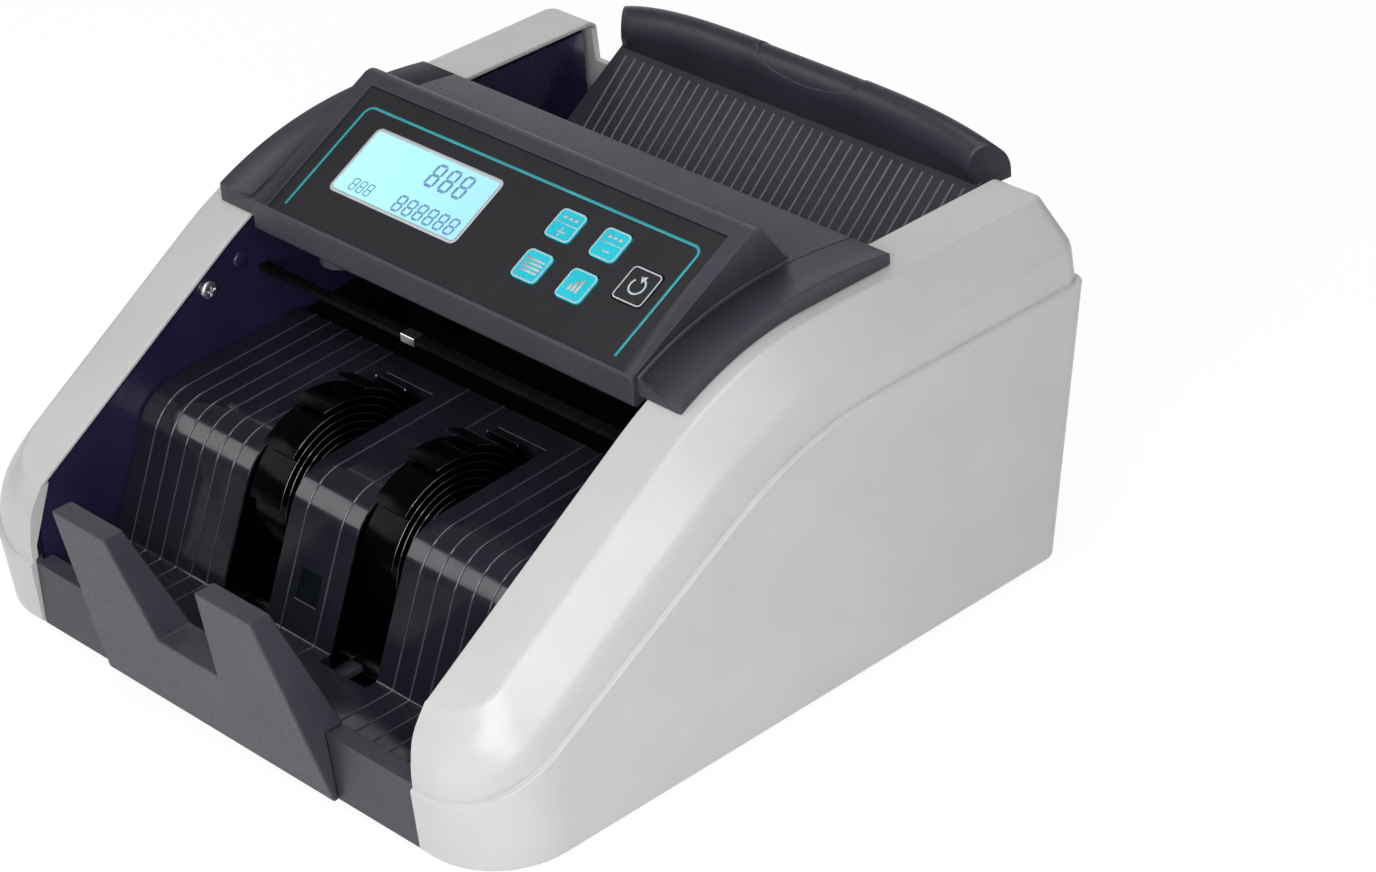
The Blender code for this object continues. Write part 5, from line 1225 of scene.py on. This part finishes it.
def plate_screws(finish):
    """The bright cross-head screw on each side plate, its head to the channel."""
    y = (SCREW_LOW.y + SCREW_HIGH.y) / 2
    z = (SCREW_LOW.z + SCREW_HIGH.z) / 2
    radius = (SCREW_HIGH.z - SCREW_LOW.z) / 2
    length = SCREW_HIGH.x - SCREW_LOW.x - SCREW_HEAD
    for name, side in (("left_plate_screw", -1), ("right_plate_screw", 1)):
        seat = side * (abs(SCREW_HIGH.x) + SCREW_HEAD)
        turn = Matrix.Rotation(-side * math.pi / 2, 4, "Y")
        at = Matrix.Translation((seat, y, z)) @ turn
        screw = pan_screw(radius, SCREW_HEAD, SCREW_SHANK, length)
        piece(name + "_head", screw, finish, at=at, stands_for=(name,))


def plate_dimples(finish):
    """A pressed dimple on the channel's face of each side plate, near the bridge."""
    radius, height = DIMPLE_SIZE
    dome = [(radius * math.cos(a), height * math.sin(a)) for a in spread(math.pi / 2, ARC_STEPS)]
    profile = [(0, -DIMPLE_ROOT), (radius, -DIMPLE_ROOT), *dome]
    for name, side in (("left_plate_dimple", -1), ("right_plate_dimple", 1)):
        turn = Matrix.Rotation(-side * math.pi / 2, 4, "Y")
        at = MACHINE @ Matrix.Translation((side * SIDE_PLATE_X, DIMPLE_Y, DIMPLE_Z)) @ turn
        piece(name, lathe(profile, SMALL_TURN_STEPS), finish, at=at)


def bar_clip(finish):
    """The bright bent clip that sits over the note guide bar."""
    front = BAR_LOW.y - FRONT_Y - CLIP_THICK
    top = BAR_HIGH.z + CLIP_THICK
    rear = BAR_HIGH.y - FRONT_Y
    foot = BAR_LOW.z - CLIP_DROP
    inner = front + CLIP_THICK - GAP / 2
    roof = BAR_HIGH.z + GAP / 2
    outline = rounded([(front, foot, 0), (inner, foot, 0), (inner, roof, 0), (rear, roof, 0), (rear, top, 0),
                       (front, top, CLIP_THICK)])
    mesh = shaped(prism(outline, CLIP_X, CLIP_X + CLIP_WIDTH), edge_round(CLIP_EDGE, 2, 40))
    piece("guide_bar_clip", mesh, finish)


def kept_nodes(finishes):
    """CAD nodes whose shape is right keep it and get a better material."""
    looks = {
        "white": ("rear_cover",),
        "navy": ("left_side_plate", "right_side_plate"),
        # The note guide bar is painted near black, as the shade under the bridge
        "shaded_steel": ("note_guide_bar",),
        "steel": ("base_plate", "front_tie_rod", "impeller_shaft", "feed_shaft", "pickup_shaft",
                  "motor_pulley", "separator_bracket"),
        "bronze": tuple(f"{shaft}_{side}_bearing" for shaft in ("impeller", "feed", "pickup")
                        for side in ("left", "right")),
        "black": ("impeller_pulley", "feed_pulley", "pickup_pulley"),
        "rubber": ("feed_belt", "impeller_belt", "pickup_belt", "separator_pad", "left_feed_roller",
                   "right_feed_roller", "left_pickup_roller", "right_pickup_roller"),
        "motor": ("drive_motor",),
        "film": ("panel_overlay",),
        "sensor": ("stacker_sensor",),
        "board": ("display_board", "main_board"),
        "iron": ("transformer",),
    }
    for finish, nodes in looks.items():
        for node in nodes:
            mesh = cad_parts[node].data
            mesh.materials.clear()
            mesh.materials.append(finishes[finish])


def studio():
    """A pale floor that reads as white, softboxes and small lights round the machine, and an even world."""
    floor = bpy.data.materials.new("studio_floor")
    floor.use_nodes = True
    tree = floor.node_tree
    tree.nodes.clear()
    rays = add(tree, "ShaderNodeLightPath").outputs
    seen = add(tree, "ShaderNodeMath", {0: rays["Is Camera Ray"], 1: rays["Is Glossy Ray"]},
               operation="MAXIMUM")
    share = add(tree, "ShaderNodeMapRange", {
        "Value": seen, "To Min": FLOOR_SHARE[0], "To Max": FLOOR_SHARE[1]})
    matt = add(tree, "ShaderNodeBsdfDiffuse", {"Color": (FLOOR_GREY, FLOOR_GREY, FLOOR_GREY, 1)})
    white = add(tree, "ShaderNodeEmission", {"Color": (1, 1, 1, 1), "Strength": FLOOR_GLOW})
    mix = add(tree, "ShaderNodeMixShader", {0: share, 1: matt, 2: white})
    add(tree, "ShaderNodeOutputMaterial", {"Surface": mix})
    mesh = bpy.data.meshes.new("floor")
    corners = rect(-FLOOR_REACH, -FLOOR_REACH, FLOOR_REACH, FLOOR_REACH)
    mesh.from_pydata([(x, y, 0) for x, y in corners], [], [(0, 1, 2, 3)])
    mesh.materials.append(floor)
    linked("floor", mesh)

    world = bpy.data.worlds.new("studio")
    world.use_nodes = True
    bpy.context.scene.world = world
    tree = world.node_tree
    rays = add(tree, "ShaderNodeLightPath").outputs
    level = add(tree, "ShaderNodeMapRange", {
        "Value": rays["Is Camera Ray"], "To Min": WORLD_LEVEL[0], "To Max": WORLD_LEVEL[1]})
    feed(tree, tree.nodes["Background"], {"Color": (1, 1, 1, 1), "Strength": level})

    for name, aim, azimuth, elevation, distance, size, power in LAMPS:
        away = outward(math.radians(azimuth), math.radians(elevation))
        light = bpy.data.lights.new(name, "AREA")
        light.shape = "RECTANGLE"
        light.size = size
        light.size_y = size
        light.energy = power
        lamp = linked(name, light)
        lamp.location = Vector(aim) + away * distance
        lamp.rotation_euler = away.to_track_quat("Z", "Y").to_euler()


def camera():
    """The photograph's viewpoint, with its slight roll."""
    back = outward(CAMERA_AZIMUTH, CAMERA_ELEVATION)
    level = Vector((math.cos(CAMERA_AZIMUTH), math.sin(CAMERA_AZIMUTH), 0))
    up = back.cross(level)
    right = level * math.cos(CAMERA_ROLL) + up * math.sin(CAMERA_ROLL)
    above = up * math.cos(CAMERA_ROLL) - level * math.sin(CAMERA_ROLL)
    turn = Matrix((right, above, back)).transposed().to_4x4()
    data = bpy.data.cameras.new("camera")
    data.sensor_fit = "HORIZONTAL"
    data.sensor_width = SENSOR_WIDTH
    data.lens = SENSOR_WIDTH * FOCAL_PIXELS / IMAGE_WIDTH
    eye = linked("camera", data)
    eye.matrix_world = Matrix.Translation(CAMERA_TARGET + back * CAMERA_DISTANCE) @ turn
    bpy.context.scene.camera = eye


def build():
    """Camera and studio, every modelled piece, and then the CAD nodes that only get a finish."""
    finishes = make_finishes()
    ribs = rib_tree()
    camera()
    studio()
    side_cover("right_side_cover", 1, finishes["white"])
    side_cover("left_side_cover", -1, finishes["white"])
    base_tub(finishes["white"])
    softened("front_sill", SILL_EDGE, finishes["dark"])
    softened("catch_plate", SILL_EDGE, finishes["dark"], "catch")
    stacker_tray(finishes["smoke"])
    # Near-black sheets that paint the shade on the slots' walls
    painted_slot_shade(finishes["fin"])
    # The guides' ribs are painted paler, as a highlight along their crests
    guide_ribs(ribs, finishes["smoke_rib"])
    impellers(finishes["fin"], finishes["bead"])
    bridge_frame(finishes["dark"])
    panel_housing(finishes["dark"])
    housing_boss(finishes["dark"])
    border_line(finishes["teal"])
    display(finishes["display"], finishes["segment"], finishes["pale"])
    keys(finishes)
    hopper(finishes["slate"], finishes["rib"], ribs)
    note_chute(finishes["black"])
    plate_screws(finishes["zinc"])
    plate_dimples(finishes["navy"])
    bar_clip(finishes["zinc"])
    softened("gap_knob", FITTING_EDGE, finishes["black"], "knob")
    softened("power_switch", ROCKER_EDGE, finishes["black"], "rocker")
    softened("power_inlet", FITTING_EDGE, finishes["black"])
    for corner in ("front_left", "front_right", "rear_left", "rear_right"):
        softened(corner + "_foot", FOOT_EDGE, finishes["rubber"])
    kept_nodes(finishes)


build()
bpy.context.scene.view_settings.view_transform = "Standard"
